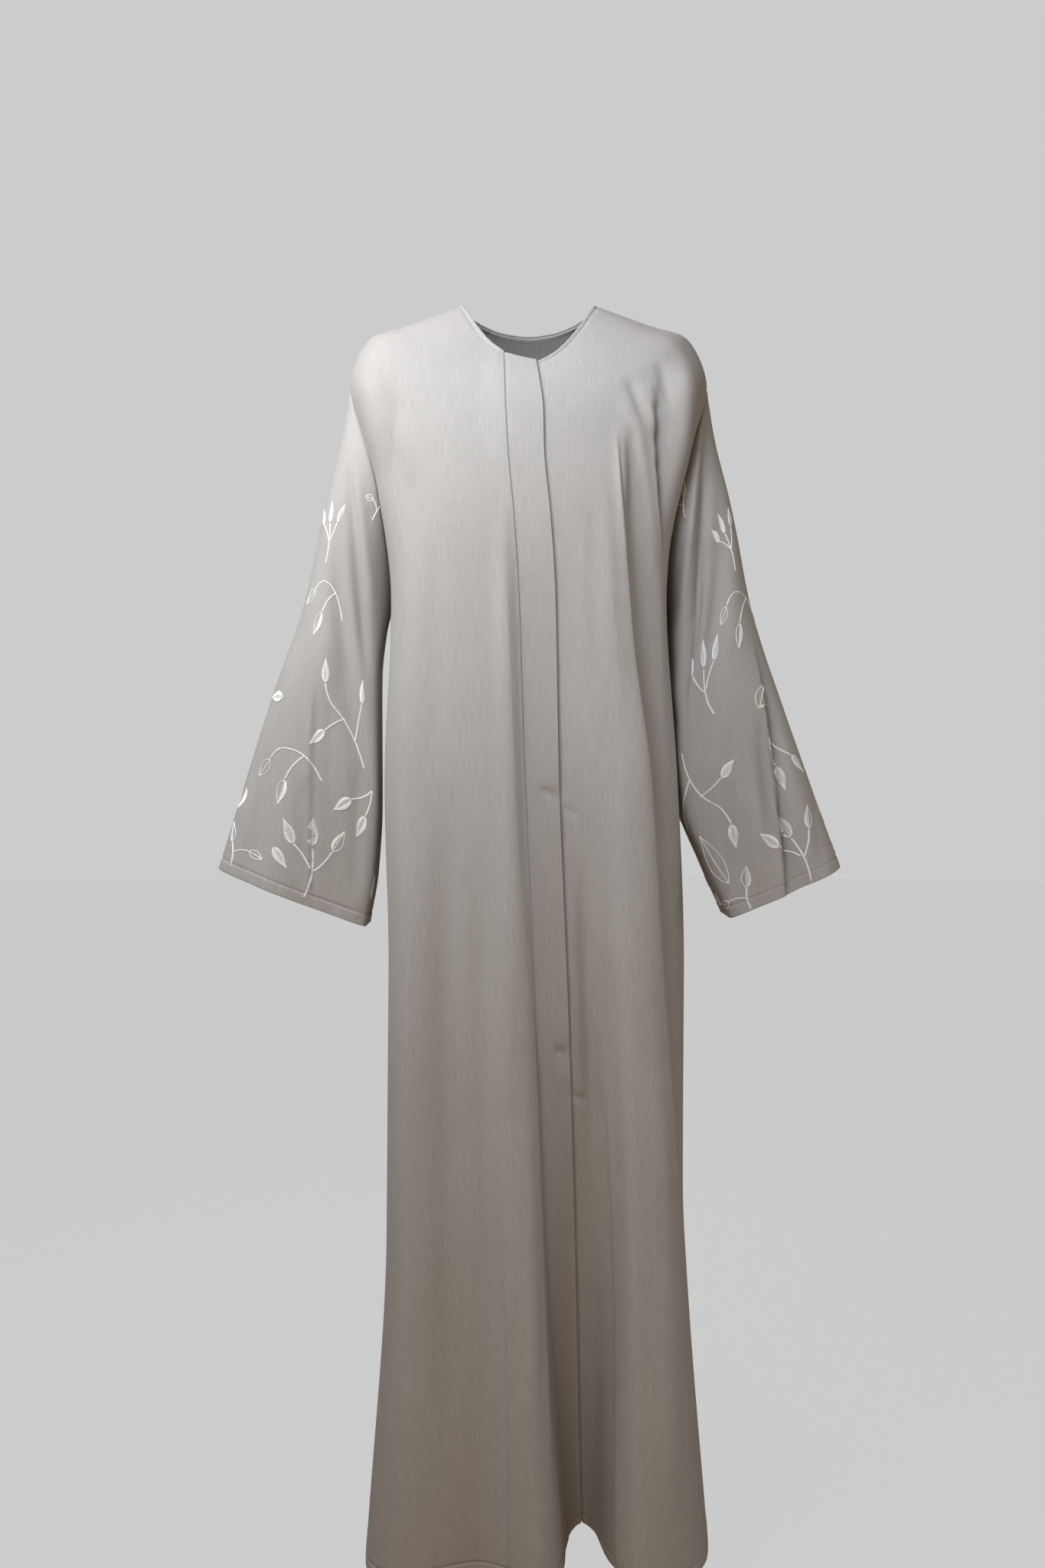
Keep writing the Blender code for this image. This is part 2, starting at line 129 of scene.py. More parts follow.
def linen_look(name, base, thick, thin):
    """Plain-woven cloth with slubs, in the colours of its mean, its thick and its thin places."""
    material, tree, surface = new_material(name)
    flat = add_node(tree, "UVMap", uv_map="weave").outputs["UV"]

    def slubs(wide, long, turned):
        scale = (1 / (wide * MM), 1 / (long * MM), 1.0)
        if turned:
            scale = (scale[1], scale[0], 1.0)
        place = add_node(tree, "Mapping", {"Vector": flat, "Scale": scale}).outputs["Vector"]
        return add_node(tree, "TexNoise", {"Vector": place, "Scale": 1.0, "Detail": 3.0}).outputs["Fac"]

    def sine(axis):
        turned = add_node(tree, "Math", {0: axis, 1: np.pi / (THREAD_MM * MM)}, operation="MULTIPLY")
        return add_node(tree, "Math", {0: turned.outputs[0]}, operation="SINE").outputs[0]

    across = add_node(tree, "SeparateXYZ", {"Vector": flat})
    warp, weft = sine(across.outputs["X"]), sine(across.outputs["Y"])
    over = add_node(tree, "Math", {0: warp, 1: weft}, operation="MULTIPLY").outputs[0]
    down_slub = slubs(SLUB_WIDE_MM, SLUB_LONG_MM, False)
    across_slub = slubs(SLUB_WIDE_MM, SLUB_LONG_MM * ACROSS_SHORTER, True)
    cloud = add_node(tree, "TexNoise", {"Vector": flat, "Scale": 9.0, "Detail": 2.0}).outputs["Fac"]

    main = add_node(tree, "MapRange", {"Value": down_slub, "From Min": 0.32, "From Max": 0.68}).outputs[0]
    light = add_node(tree, "Mix", {0: main, 6: linear(thin), 7: linear(thick)}, data_type="RGBA").outputs[2]
    side = add_node(tree, "MapRange", {"Value": across_slub, "From Min": 0.3, "From Max": 0.7,
                                       "To Min": 0.0, "To Max": 0.6}).outputs[0]
    woven = add_node(tree, "Mix", {0: side, 6: light, 7: linear(base)}, data_type="RGBA").outputs[2]
    shade = add_node(tree, "MapRange", {"Value": cloud, "To Min": 0.95, "To Max": 1.05}).outputs[0]
    colour = add_node(tree, "Mix", {0: 1.0, 6: woven, 7: shade}, data_type="RGBA", blend_type="MULTIPLY")
    tree.links.new(colour.outputs[2], surface.inputs["Base Color"])

    threads = add_node(tree, "Math", {0: over, 1: 0.5, 2: 0.5}, operation="MULTIPLY_ADD").outputs[0]
    lumps = add_node(tree, "Math", {0: down_slub, 1: across_slub}, operation="ADD").outputs[0]
    height = add_node(tree, "Math", {0: lumps, 1: 1.6, 2: threads}, operation="MULTIPLY_ADD").outputs[0]
    bump = add_node(tree, "Bump", {"Height": height, "Strength": 0.35, "Distance": 0.12 * MM})
    tree.links.new(bump.outputs["Normal"], surface.inputs["Normal"])
    surface.inputs["Roughness"].default_value = 0.86
    surface.inputs["IOR"].default_value = 1.5
    surface.inputs["Specular IOR Level"].default_value = 0.3
    surface.inputs["Sheen Weight"].default_value = 0.12
    surface.inputs["Sheen Roughness"].default_value = 0.45
    return material


cloth = linen_look("linen_look_plain_weave", CLOTH_COLOUR, "#B2ADA7", "#A19C96")
print("material", cloth.name, len(cloth.node_tree.nodes), "nodes")

# %% [markdown]
# ## Threads
# Two threads show. The sewing thread is coloured darker than the cloth as painted shade, the shadow along a
# stitched line, so a line of stitches reads as a row of small shadows. The embroidery thread is rayon, laid
# in
# satin stitch: long smooth filaments that catch the light, paler and glossier than the cloth. A fine noise of
# a real size stands for its filaments.

# %% Sewing and embroidery threads
def spun_thread(name, pale, dark, roughness, sheen, filament_mm):
    """Thread whose colour and surface vary between filaments."""
    material, tree, surface = new_material(name)
    place = add_node(tree, "TexCoord").outputs["Object"]
    noise = add_node(tree, "TexNoise", {"Vector": place, "Scale": 1 / (filament_mm * MM), "Detail": 2.0})
    shades = {0: noise.outputs["Fac"], 6: linear(dark), 7: linear(pale)}
    colour = add_node(tree, "Mix", shades, data_type="RGBA")
    tree.links.new(colour.outputs[2], surface.inputs["Base Color"])
    bump = add_node(tree, "Bump", {"Height": noise.outputs["Fac"], "Strength": 0.4, "Distance": 0.1 * MM})
    tree.links.new(bump.outputs["Normal"], surface.inputs["Normal"])
    surface.inputs["Roughness"].default_value = roughness
    surface.inputs["Sheen Weight"].default_value = sheen
    surface.inputs["Sheen Roughness"].default_value = 0.3
    return material


# the sewing thread's dark colour is painted shade: it stands for the shadow along each stitched line
stitch_thread_painted_shade = spun_thread("spun_polyester_thread_painted_shade", "#8E8983", "#75706A", 0.6, 0.1, 0.6)
embroidery_thread = spun_thread("rayon_embroidery_thread", "#FCFBFA", "#F1EFEC", 0.30, 0.5, 0.5)
print("materials", stitch_thread_painted_shade.name, embroidery_thread.name)

# %% [markdown]
# ## The form that the cloth hangs in
# A worn cloak is smooth over the shoulders and breaks into folds lower down. Simulating cloth would give
# some folds, but not these ones, so the folds are a table: each row is one ridge or valley that runs from
# the neck to the hem, and gives where it lies at six heights. A smooth curve through the rows gives any
# point of the body. The tables of the body are in centimetres and are the same as the solid model's.

# %% Heights and rings of the body
CM = 0.01
# each ring's height, and its place down the cloth, which counts from 0 at the neck to 145 at the hem
HEM_Z = -142.0
CHEST_Z, UNDERARM_Z, WAIST_Z, HIP_Z, KNEE_Z = -28.0, -36.0, -57.0, -80.0, -108.0
DOWN_CHEST, DOWN_UNDERARM, DOWN_WAIST, DOWN_HIP, DOWN_KNEE, DOWN_HEM = 27.0, 39.5, 60.0, 83.0, 111.0, 145.0
ARMHOLE_TOP, ARMHOLE_BOTTOM = 16.0, 39.5
# how many columns the armhole is cut into the front and the back, and how full its curve is
ARMHOLE_FRONT, ARMHOLE_BACK, ARMHOLE_ROUND = 0.66, 0.60, 0.55
SIDE_Y = 0.8            # y of the side seams over the shoulders
HEM_SIDE_DROP = 1.5     # the hem hangs this much lower at the sides
CHEST_SIDE_Z, CHEST_BACK_Z = -22.0, -25.0

# name, down, half width, front y, back y, front z, side z, back z, squareness
LEVELS = (
    ("neck",          0.0,  8.0,  -7.6,  6.4,  -9.0,   0.0,  -1.8, 1.00),
    ("yoke",          6.5, 14.8,  -9.8,  9.2, -12.2,  -2.5,  -5.2, 0.90),
    ("shoulder_edge", 10.5, 18.9, -11.0, 10.4, -15.2,  -3.9,  -9.0, 0.85),
    ("armhole_top",   16.0, 21.4, -12.3, 11.2, -20.0,  -9.8, -15.0, 0.85),
)
# name, degrees at the neck and at the shoulder; then x, y at chest, underarm, waist, hip, knee and hem
FOLDS = (
    ("side_right", -90, -90.0,
     -18.0,   0.8, -16.4,   0.8, -16.5,   0.8, -16.4,   1.2, -16.6,   2.0, -18.8,   2.6),
    ("front_edge_r", -76, -62.0,
     -17.2,  -6.3, -15.9,  -5.5, -16.7,  -5.0, -15.8, -10.0, -15.8, -12.0, -17.8, -14.5),
    ("left_edge", -62, -42.0,
     -13.4, -10.6, -13.5, -11.5, -14.4, -12.8, -13.0, -15.6, -12.7, -17.0, -13.0, -18.8),
    ("left_valley", -46, -20.0,
      -8.5, -13.0,  -8.3, -13.6,  -8.2, -15.0,  -7.7, -16.1,  -7.0, -16.9,  -5.5, -17.2),
    ("left_ridge", -35, -9.5,
      -4.6, -13.6,  -4.0, -14.3,  -3.4, -16.0,  -2.4, -17.6,  -1.2, -19.4,   0.8, -21.2),
    ("left_lip", -27, -6.2,
      -2.9, -13.4,  -2.3, -14.0,  -1.6, -15.3,  -0.4, -16.4,   1.2, -17.2,   3.8, -16.6),
    ("stitch", -21, -4.2,
      -1.6, -13.4,  -1.1, -13.9,  -0.4, -15.0,   0.5, -15.6,   1.8, -14.4,   4.2, -10.8),
    ("opening", 6, 2.9,
       2.4, -13.6,   2.9, -14.0,   3.3, -15.0,   4.2, -15.0,   5.1, -12.6,   5.9,  -7.4),
    ("right_floor", 15, 6.6,
       4.4, -13.6,   4.7, -14.1,   5.4, -15.3,   6.3, -14.9,   6.9, -13.0,   7.4,  -9.3),
    ("right_lip", 24, 10.9,
       6.2, -13.6,   6.7, -14.3,   7.6, -15.8,   8.4, -16.0,   9.0, -15.4,   8.7, -16.0),
    ("right_ridge", 33, 16.7,
       8.3, -13.5,   8.9, -14.4,  10.0, -16.2,  11.0, -17.4,  11.5, -18.8,  11.9, -21.0),
    ("fold_a", 43, 25.0,
      10.6, -12.7,  11.0, -13.3,  12.5, -14.6,  14.9, -14.5,  16.2, -15.8,  17.4, -18.2),
    ("valley_a", 49, 28.5,
      11.4, -11.0,  12.1, -11.3,  13.8, -11.2,  15.9, -11.0,  17.3, -12.0,  19.6, -14.0),
    ("fold_b", 56, 34.0,
      14.4, -10.2,  15.1,  -9.5,  15.4, -10.6,  17.4,  -7.5,  17.9,  -6.5,  20.3,  -8.5),
    ("front_edge_l", 74, 62.0,
      17.3,  -6.5,  16.0,  -5.5,  17.1,  -7.0,  18.2,  -3.5,  18.2,  -2.0,  20.7,  -3.0),
    ("side_left", 90, 90.0,
      18.0,   0.8,  16.4,   0.8,  16.5,   0.8,  18.0,   1.2,  18.3,   1.8,  20.8,   2.6),
    ("back_edge_l", 108, 112.0,
      17.0,   7.0,  15.7,   7.0,  15.8,   7.0,  17.2,   7.2,  17.8,   8.5,  19.8,   9.8),
    ("back_ridge_1", 124, 130.0,
      12.8,  10.6,  12.7,  10.6,  13.0,  10.8,  14.0,  12.0,  14.4,  13.2,  15.4,  15.0),
    ("back_valley_1", 140, 146.0,
       9.2,  11.5,   9.2,  11.1,   9.4,  10.8,  10.2,  11.0,  10.2,  11.4,  10.4,  11.8),
    ("back_ridge_2", 158, 163.0,
       5.2,  11.9,   5.2,  11.8,   5.2,  11.8,   5.6,  12.9,   5.4,  14.2,   5.2,  16.0),
    ("back_centre", 180, 180.0,
       0.2,  12.0,   0.2,  11.6,   0.2,  11.2,   0.6,  11.5,   0.4,  12.0,  -0.2,  12.4),
    ("back_ridge_3", 202, 197.0,
      -4.8,  11.9,  -5.0,  11.8,  -5.2,  11.9,  -5.4,  13.0,  -5.8,  14.4,  -6.2,  16.2),
    ("back_valley_2", 220, 214.0,
      -9.0,  11.5,  -9.2,  11.1,  -9.4,  10.8,  -9.6,  11.0, -10.0,  11.4, -10.8,  12.0),
    ("back_ridge_4", 236, 230.0,
     -12.6,  10.6, -12.6,  10.6, -12.6,  10.7, -13.0,  11.8, -13.6,  13.0, -14.6,  14.8),
    ("back_edge_r", 252, 248.0,
     -17.0,   7.0, -15.7,   7.0, -15.7,   7.0, -15.8,   7.2, -16.2,   8.2, -17.8,   9.6),
)
COLUMN = {row[0]: index for index, row in enumerate(FOLDS)}
FULL_TURN = len(FOLDS)
print(len(LEVELS), "rings over the shoulders,", FULL_TURN, "fold lines round the body")


# %% Curves through the tables
def through(places, values, wanted):
    """Monotone cubic through values at places, so that a ridge lies on its own row of the table."""
    places, values, wanted = (np.asarray(item, float) for item in (places, values, wanted))
    trail = (1,) * (values.ndim - 1)
    step = np.diff(places).reshape((-1,) + trail)
    rise = np.diff(values, axis=0) / step
    slope = np.zeros_like(values)
    same_way = rise[:-1] * rise[1:] > 0
    weight_a, weight_b = 2 * step[1:] + step[:-1], step[1:] + 2 * step[:-1]
    safe = np.where(same_way, rise[:-1], 1.0), np.where(same_way, rise[1:], 1.0)
    inner = (weight_a + weight_b) / (weight_a / safe[0] + weight_b / safe[1])
    slope[1:-1] = np.where(same_way, inner, 0.0)
    slope[0], slope[-1] = rise[0], rise[-1]
    cell = np.clip(np.searchsorted(places, wanted, side="right") - 1, 0, len(places) - 2)
    width = (places[cell + 1] - places[cell]).reshape((-1,) + trail)
    part = (wanted - places[cell]).reshape((-1,) + trail) / width
    return (values[cell] * (1 + 2 * part) * (1 - part) ** 2
            + slope[cell] * width * part * (1 - part) ** 2
            + values[cell + 1] * part ** 2 * (3 - 2 * part)
            + slope[cell + 1] * width * part ** 2 * (part - 1))


def ease(share):
    """0 to 1 with level ends."""
    share = np.clip(share, 0.0, 1.0)
    return share * share * (3 - 2 * share)


def unit(vectors):
    """The same directions at length 1."""
    return vectors / np.maximum(np.linalg.norm(vectors, axis=-1, keepdims=True), 1e-9)


def bell(distance, wide, at=0.0):
    """1 where the distance is at, falling off softly over a width on both sides."""
    return np.exp(-((distance - at) / wide) ** 2)


def bent(line, count):
    """Points of a bent line that sets out from its start towards its middle and arrives at its end."""
    start, middle, end = np.array(line, float)
    share = np.linspace(0, 1, count)[:, None]
    return (1 - share) ** 2 * start + 2 * share * (1 - share) * middle + share ** 2 * end


def lengths_along(line):
    """Distance from a line's start to each of its points."""
    return np.concatenate([[0.0], np.cumsum(np.linalg.norm(np.diff(line, axis=0), axis=1))])


def read_at(values, places, wanted):
    """Values that a line has at places along it, read at the wanted places."""
    return np.stack([np.interp(wanted, places, column) for column in values.T], axis=-1)


def tree_of(places):
    """A tree that finds the nearest of many places in space."""
    tree = KDTree(len(places))
    for number, place in enumerate(places):
        tree.insert(place, number)
    tree.balance()
    return tree


print("halfway between 0 and 1, eased:", ease(0.5))


# %% Rings of the body
def upper_ring(level):
    """A ring's points on every fold line, where the cloth lies smooth over the shoulders."""
    _, _, half_width, front_y, back_y, front_z, side_z, back_z, square = level
    neck_half, top_half = LEVELS[0][2], LEVELS[-1][2]
    spread = (1 / neck_half - 1 / half_width) / (1 / neck_half - 1 / top_half)
    points = []
    for row in FOLDS:
        angle = np.radians(row[1] + (row[2] - row[1]) * spread)
        across, along = np.sin(angle), np.cos(angle)
        end_y, end_z = (front_y, front_z) if along > 0 else (back_y, back_z)
        x = half_width * np.sign(across) * abs(across) ** square
        y = SIDE_Y + (end_y - SIDE_Y) * abs(along) ** square
        points.append((x, y, side_z + (end_z - side_z) * along * along))
    return points


def lower_ring(number, z, side_drop=0.0):
    """A ring's points on every fold line, read from FOLDS."""
    return [(row[3 + 2 * number], row[4 + 2 * number], z - side_drop * np.sin(np.radians(row[2])) ** 2)
            for row in FOLDS]


def chest_ring():
    """As lower_ring, but higher at the sides, where the armholes are."""
    points = []
    for (x, y, _), row in zip(lower_ring(0, CHEST_Z), FOLDS):
        along = np.cos(np.radians(row[2]))
        end_z = CHEST_Z if along > 0 else CHEST_BACK_Z
        points.append((x, y, CHEST_SIDE_Z + (end_z - CHEST_SIDE_Z) * along * along))
    return points


RINGS_DOWN = [level[1] for level in LEVELS] + [
    DOWN_CHEST, DOWN_UNDERARM, DOWN_WAIST, DOWN_HIP, DOWN_KNEE, DOWN_HEM]
RINGS = np.array([upper_ring(level) for level in LEVELS] + [chest_ring()] + [
    lower_ring(number, z) for number, z in enumerate((UNDERARM_Z, WAIST_Z, HIP_Z, KNEE_Z), start=1)] + [
    lower_ring(5, HEM_Z, HEM_SIDE_DROP)])
print("rings and fold lines", RINGS.shape)


# %% Points of the body and the cut of its armholes
def body_points(down, columns):
    """Points of the body's surface. down has one value for each row, columns one list for each row."""
    knots = through(RINGS_DOWN, RINGS, down)
    wrap = 4
    places = np.arange(-wrap, FULL_TURN + wrap + 1)
    looped = knots[:, places % FULL_TURN]
    return np.array([through(places, ring, row) for ring, row in zip(looped, columns)])


def body_normals(down, columns):
    """Outward unit normals of the body's surface at the same places."""
    small = 0.02
    low = np.clip(np.asarray(down) - small, 0, DOWN_HEM)
    high = np.clip(np.asarray(down) + small, 0, DOWN_HEM)
    along = body_points(high, columns) - body_points(low, columns)
    across = body_points(down, columns + small) - body_points(down, columns - small)
    return unit(np.cross(along, across))


def armhole_share(down):
    """0 above and below the armhole, up to 1 at its middle."""
    share = np.clip((np.asarray(down) - ARMHOLE_TOP) / (ARMHOLE_BOTTOM - ARMHOLE_TOP), 0.0, 1.0)
    return np.sin(np.pi * share) ** ARMHOLE_ROUND


def panel_columns(down, even, first_cut, last_cut):
    """A panel's columns, one list for each row, drawn in where the armhole is cut."""
    first, last = even[0], even[-1]
    cut = armhole_share(down)[:, None]
    squeezed = 2.0
    from_first = np.clip(1 - (even - first) / squeezed, 0, 1)
    from_last = np.clip(1 - (last - even) / squeezed, 0, 1)
    return even + cut * (first_cut * from_first - last_cut * from_last)


middle_front = body_points([DOWN_WAIST], np.array([[COLUMN["opening"]]]))[0, 0]
print("opening edge at the waist, cm:", middle_front.round(1))

# %% [markdown]
# ## From a table to a sheet of cloth
# A sheet of cloth is a grid, so Blender's own grid operator makes it, and each of its corners is moved onto
# the form. The grid is fine where something small happens, at a hem or a seam, and coarser elsewhere. The
# flat size of the piece is measured on the grid and kept as a UV map in metres. The weave reads that map,
# so the threads stay the same size on every piece. The Solidify modifier then gives the cloth its thickness.

# %% Grid helpers
CLOTH_THICK, SEAM_GAP = 0.09, 0.03    # cm
# rows of the body, in centimetres down: fine at the neck's edge, at the hem and near the snaps
NECK_EDGE, NECK_STEP = 0.6, 0.1
HEM_EDGE, HEM_STEP = 1.6, 0.11
YOKE_STEP, SKIRT_STEP = 0.5, 0.75
ARMHOLE_ROWS = 44
SNAPS_DOWN, NEAR_SNAP = (61.9, 89.8, 94.4), 1.6
# the finest columns lie this far from a panel's edge, and widths are summed up over this share of a column
EDGE_STEPS, FINEST = (0.05, 0.12, 0.2, 0.32, 0.5, 0.75), 0.02
WELD = 0.005    # corners nearer than this are joined


def spaced(start, end, step):
    """Even places from start to end, about one step apart."""
    return np.linspace(start, end, max(2, round(abs(end - start) / step) + 1))


def body_rows():
    """Down values of the rows of the body."""
    even = np.linspace(0, 1, ARMHOLE_ROWS + 1)
    turn = (1 - np.cos(np.pi * even)) / 2
    armhole = ARMHOLE_TOP + (ARMHOLE_BOTTOM - ARMHOLE_TOP) * (turn + even) / 2
    edge = spaced(0, NECK_EDGE, NECK_STEP)
    yoke = spaced(NECK_EDGE, ARMHOLE_TOP, YOKE_STEP)
    skirt = spaced(ARMHOLE_BOTTOM, DOWN_HEM - HEM_EDGE, SKIRT_STEP)
    near_snaps = np.min(np.abs(skirt[1:-1, None] - np.array(SNAPS_DOWN)), axis=1) < NEAR_SNAP
    halves = (skirt[1:-1] + (skirt[1] - skirt[0]) / 2)[near_snaps]
    skirt = np.sort(np.concatenate([skirt, halves]))
    turned_up = spaced(DOWN_HEM - HEM_EDGE, DOWN_HEM, HEM_STEP)
    return np.concatenate([edge, yoke[1:], armhole[1:], skirt[1:], turned_up[1:]])


def even_by_width(first, last, step):
    """Columns between two fold lines, even in centimetres over the whole length, and finer at both edges."""
    fine = np.arange(first, last + 1e-9, FINEST)
    fine[-1] = last
    down = np.array([DOWN_CHEST, DOWN_WAIST, DOWN_HIP, DOWN_KNEE, DOWN_HEM - 5])
    points = body_points(down, np.tile(fine, (len(down), 1)))
    lengths = np.linalg.norm(np.diff(points, axis=1), axis=2).mean(axis=0)
    width = np.concatenate([[0.0], np.cumsum(lengths)])
    total = width[-1]
    inner = spaced(EDGE_STEPS[-1] + step * 0.5, total - EDGE_STEPS[-1] - step * 0.5, step)
    wanted = np.concatenate([[0.0], EDGE_STEPS, inner, total - np.array(EDGE_STEPS)[::-1], [total]])
    return np.interp(wanted, width, fine)


down_rows = body_rows()
print(len(down_rows), "rows from the neck to the hem")


# %% Measure and lay a sheet
def flat_places(points, centre):
    """How far each point lies round its row from the centre column, and how far down its column.

    The down values are counted up from a level lower edge."""
    steps = np.linalg.norm(np.diff(points, axis=1), axis=2)
    around = np.concatenate([np.zeros((len(points), 1)), np.cumsum(steps, axis=1)], axis=1)
    around = around - around[:, [centre]]
    steps = np.linalg.norm(np.diff(points, axis=0), axis=2)
    down = np.concatenate([np.zeros((1, points.shape[1])), np.cumsum(steps, axis=0)])
    return around, down + down[-1, centre] - down[-1]


def grid_normals(points, like):
    """Unit normals of a grid of points, on the same side as the given ones."""
    normals = unit(np.cross(np.gradient(points, axis=0), np.gradient(points, axis=1)))
    side = np.sign(np.sum(normals * like, axis=-1, keepdims=True))
    return np.where(side == 0, like, normals * side)


def mesh_piece(name, mesh, material):
    """Turns a mesh that was being worked on into an object of one material."""
    data = bpy.data.meshes.new(name)
    mesh.to_mesh(data)
    mesh.free()
    data.materials.append(material)
    return add_object(name, data)


def lay_cloth(name, points, normals, around, down, material, thick=CLOTH_THICK, tube=False):
    """A grid of cloth with its corners on points, its outer face along normals and its flat size as UV."""
    rows, columns = points.shape[:2]
    sheet = bmesh.new()
    bmesh.ops.create_grid(sheet, x_segments=columns - 1, y_segments=rows - 1, size=1.0)
    sheet.verts.index_update()
    places = (points * CM).reshape(-1, 3)
    outward = normals.reshape(-1, 3)
    for vertex in sheet.verts:
        vertex.co = places[vertex.index]
    sheet.normal_update()
    agreeing = sum(vertex.normal.dot(outward[vertex.index]) for vertex in sheet.verts)
    if agreeing < 0:
        bmesh.ops.reverse_faces(sheet, faces=sheet.faces)
    weave = sheet.loops.layers.uv.new("weave")
    flat = np.stack([around, -down], axis=-1).reshape(-1, 2) * CM
    for face in sheet.faces:
        face.smooth = True
        for corner in face.loops:
            corner[weave].uv = flat[corner.vert.index]
    if tube:
        bmesh.ops.remove_doubles(sheet, verts=sheet.verts, dist=WELD * CM)
    piece = mesh_piece(name, sheet, material)
    wall = piece.modifiers.new("cloth_thickness", "SOLIDIFY")
    wall.thickness = thick * CM
    wall.offset = -1.0
    return piece


def cut_size(points, around, down):
    """Greatest width, length and area of the flat piece, in metres and square metres."""
    width = around[:, -1] - around[:, 0]
    length = down.max() - down.min()
    across, along = points[1:, 1:] - points[:-1, :-1], points[1:, :-1] - points[:-1, 1:]
    area = np.linalg.norm(np.cross(across, along), axis=2).sum() / 2
    return width.max() * CM, length * CM, area * CM * CM


def say_flat(name, cut):
    """Prints the flat size of a piece."""
    width, length, area = (round(value, 3) for value in cut)
    print(name, "flat", width, "by", length, "m, area", area, "m2")


print("the cloth is", round(CLOTH_THICK * 10, 1), "mm thick")

# %% [markdown]
# ## Creases, seams and hems
# On top of the main folds, cloth keeps smaller marks: a drag line from a shoulder, a dent under a snap, the
# pucker along a line of stitches. Each crease is one row of a table: a bent line, how wide it is and how
# deep, with a minus sign for a trough. Where one fold lies over the next, the cloth is lifted up to the
# fold's edge and dropped behind it, so the edge throws a hard shadow. A seam is a shallow groove where two
# pieces turn in, with fine puckers beside it. A hem is a doubled edge with a groove where it is stitched. All
# of these move points along the normal. Beside the armholes the cloth is held out to the front instead.

# %% Creases and seams
FAR = 1000.0            # places that a crease must not reach are moved this far off
CREASE_STEPS = 40       # a crease's bent line is read at this many steps
FADE = 0.3              # and fades over this share of its length at each end
STEP_WIDE = 0.26        # width of the step from a fold's edge down to the cloth behind it
# creases of the front: x, z of start, middle and end in centimetres, half width, depth
CREASES_FRONT = (
    (-14.5, -12.0, -15.5, -17.0, -15.0, -24.0, 1.0, -0.25),
    (-10.5, -26.0, -10.0, -42.0, -10.4, -62.0, 1.2, -0.18),
    (-9.4, -54.0, -8.9, -92.0, -8.4, -141.0, 1.8, -0.75),
    (-5.6, -60.0, -5.0, -94.0, -3.4, -138.0, 1.5, -0.50),
    (-3.2, -22.0, -1.9, -54.0, -1.0, -92.0, 1.0, 0.80),
    (-0.8, -62.0, -0.2, -96.0, 0.8, -136.0, 0.8, 0.55),
    (14.9, -8.5, 15.4, -11.6, 16.2, -15.4, 0.35, -0.35),
    (11.2, -10.8, 12.2, -14.0, 13.6, -17.4, 0.7, -0.28),
    (10.0, -15.0, 10.6, -30.0, 11.2, -46.0, 0.7, 0.30),
    (12.0, -15.0, 12.9, -22.0, 14.6, -36.0, 0.7, 0.35),
    (17.8, -7.5, 18.2, -14.5, 17.4, -27.0, 1.2, 0.40),
    (7.0, -22.0, 7.4, -34.0, 7.2, -50.0, 1.0, -0.10),
    (11.4, -36.0, 12.6, -72.0, 14.2, -110.0, 1.5, 1.05),
    (13.4, -86.0, 14.6, -112.0, 15.2, -142.0, 1.6, 0.90),
    (8.6, -62.0, 8.6, -100.0, 8.8, -137.0, 1.3, -0.50),
    (5.6, -64.0, 6.4, -82.0, 7.2, -100.0, 0.8, -0.50),
    (2.9, -58.9, 1.9, -58.0, 0.9, -58.1, 0.30, -0.22),
    (3.5, -59.6, 4.4, -60.6, 5.6, -60.9, 0.35, -0.14),
    (4.0, -87.2, 3.3, -86.4, 2.4, -86.5, 0.30, -0.22),
    (4.6, -91.2, 5.4, -92.0, 6.6, -92.2, 0.35, -0.20),
)
# where one fold lies over the next: x, z of start, middle and end of its edge, half width, lift before the
# edge, drop behind it; the fold lies towards smaller x if its line runs down, and larger x if it runs up
OVERLAPS_FRONT = (
    (9.95, -17.0, 10.5, -31.0, 12.1, -52.0, 0.50, 0.15, 0.55),
    (10.9, -34.0, 12.8, -66.0, 17.3, -112.0, 0.95, 0.45, 0.95),
    (14.7, -10.5, 13.6, -19.0, 15.5, -33.0, 1.30, 0.25, 0.95),
    (0.2, -76.0, 1.2, -104.0, 3.0, -140.0, 0.60, 0.25, 0.30),
    (9.1, -160.0, 9.8, -112.0, 7.7, -88.0, 0.90, 0.35, 0.45),
    (-1.7, -158.0, -2.3, -125.0, -3.0, -98.0, 1.40, 0.30, 0.22),
)
# cloth held out towards the front beside each armhole: x, z of start, middle and end, half width, distance
HELD_OUT = (
    (18.8, -6.0, 18.8, -17.0, 17.4, -33.0, 2.3, 1.15),
    (-18.8, -6.0, -18.8, -17.0, -17.4, -33.0, 2.3, 0.80),
)
# a seam in centimetres: its groove, then the roll beside it; waves are height, turns along the line, start
LINE_STEP = 0.03
SEAM_DEEP, GROOVE_WIDE = 0.1, 0.14
ROLL_HIGH, ROLL_PUCKER, ROLL_WIDE, ROLL_AT = 0.02, 0.012, 0.3, 0.45
SEAM_WAVES = ((1.0, 5.1, 0.0), (0.7, 8.3, 1.0), (0.5, 3.1, 2.0))
# a hem in centimetres: how far it is turned, the step of its doubled edge, its groove and its puckers
HEM_FOLD = 1.0
HEM_DOUBLED, HEM_STEP_WIDE = 0.035, 0.12
HEM_DEEP, HEM_GROOVE_WIDE = 0.09, 0.10
HEM_PUCKER, HEM_PUCKER_WIDE, HEM_PUCKER_AT = 0.018, 0.55, 0.7
HEM_WAVES = ((1.0, 3.7, 0.0), (0.8, 6.1, 0.7), (0.5, 1.9, 2.2))


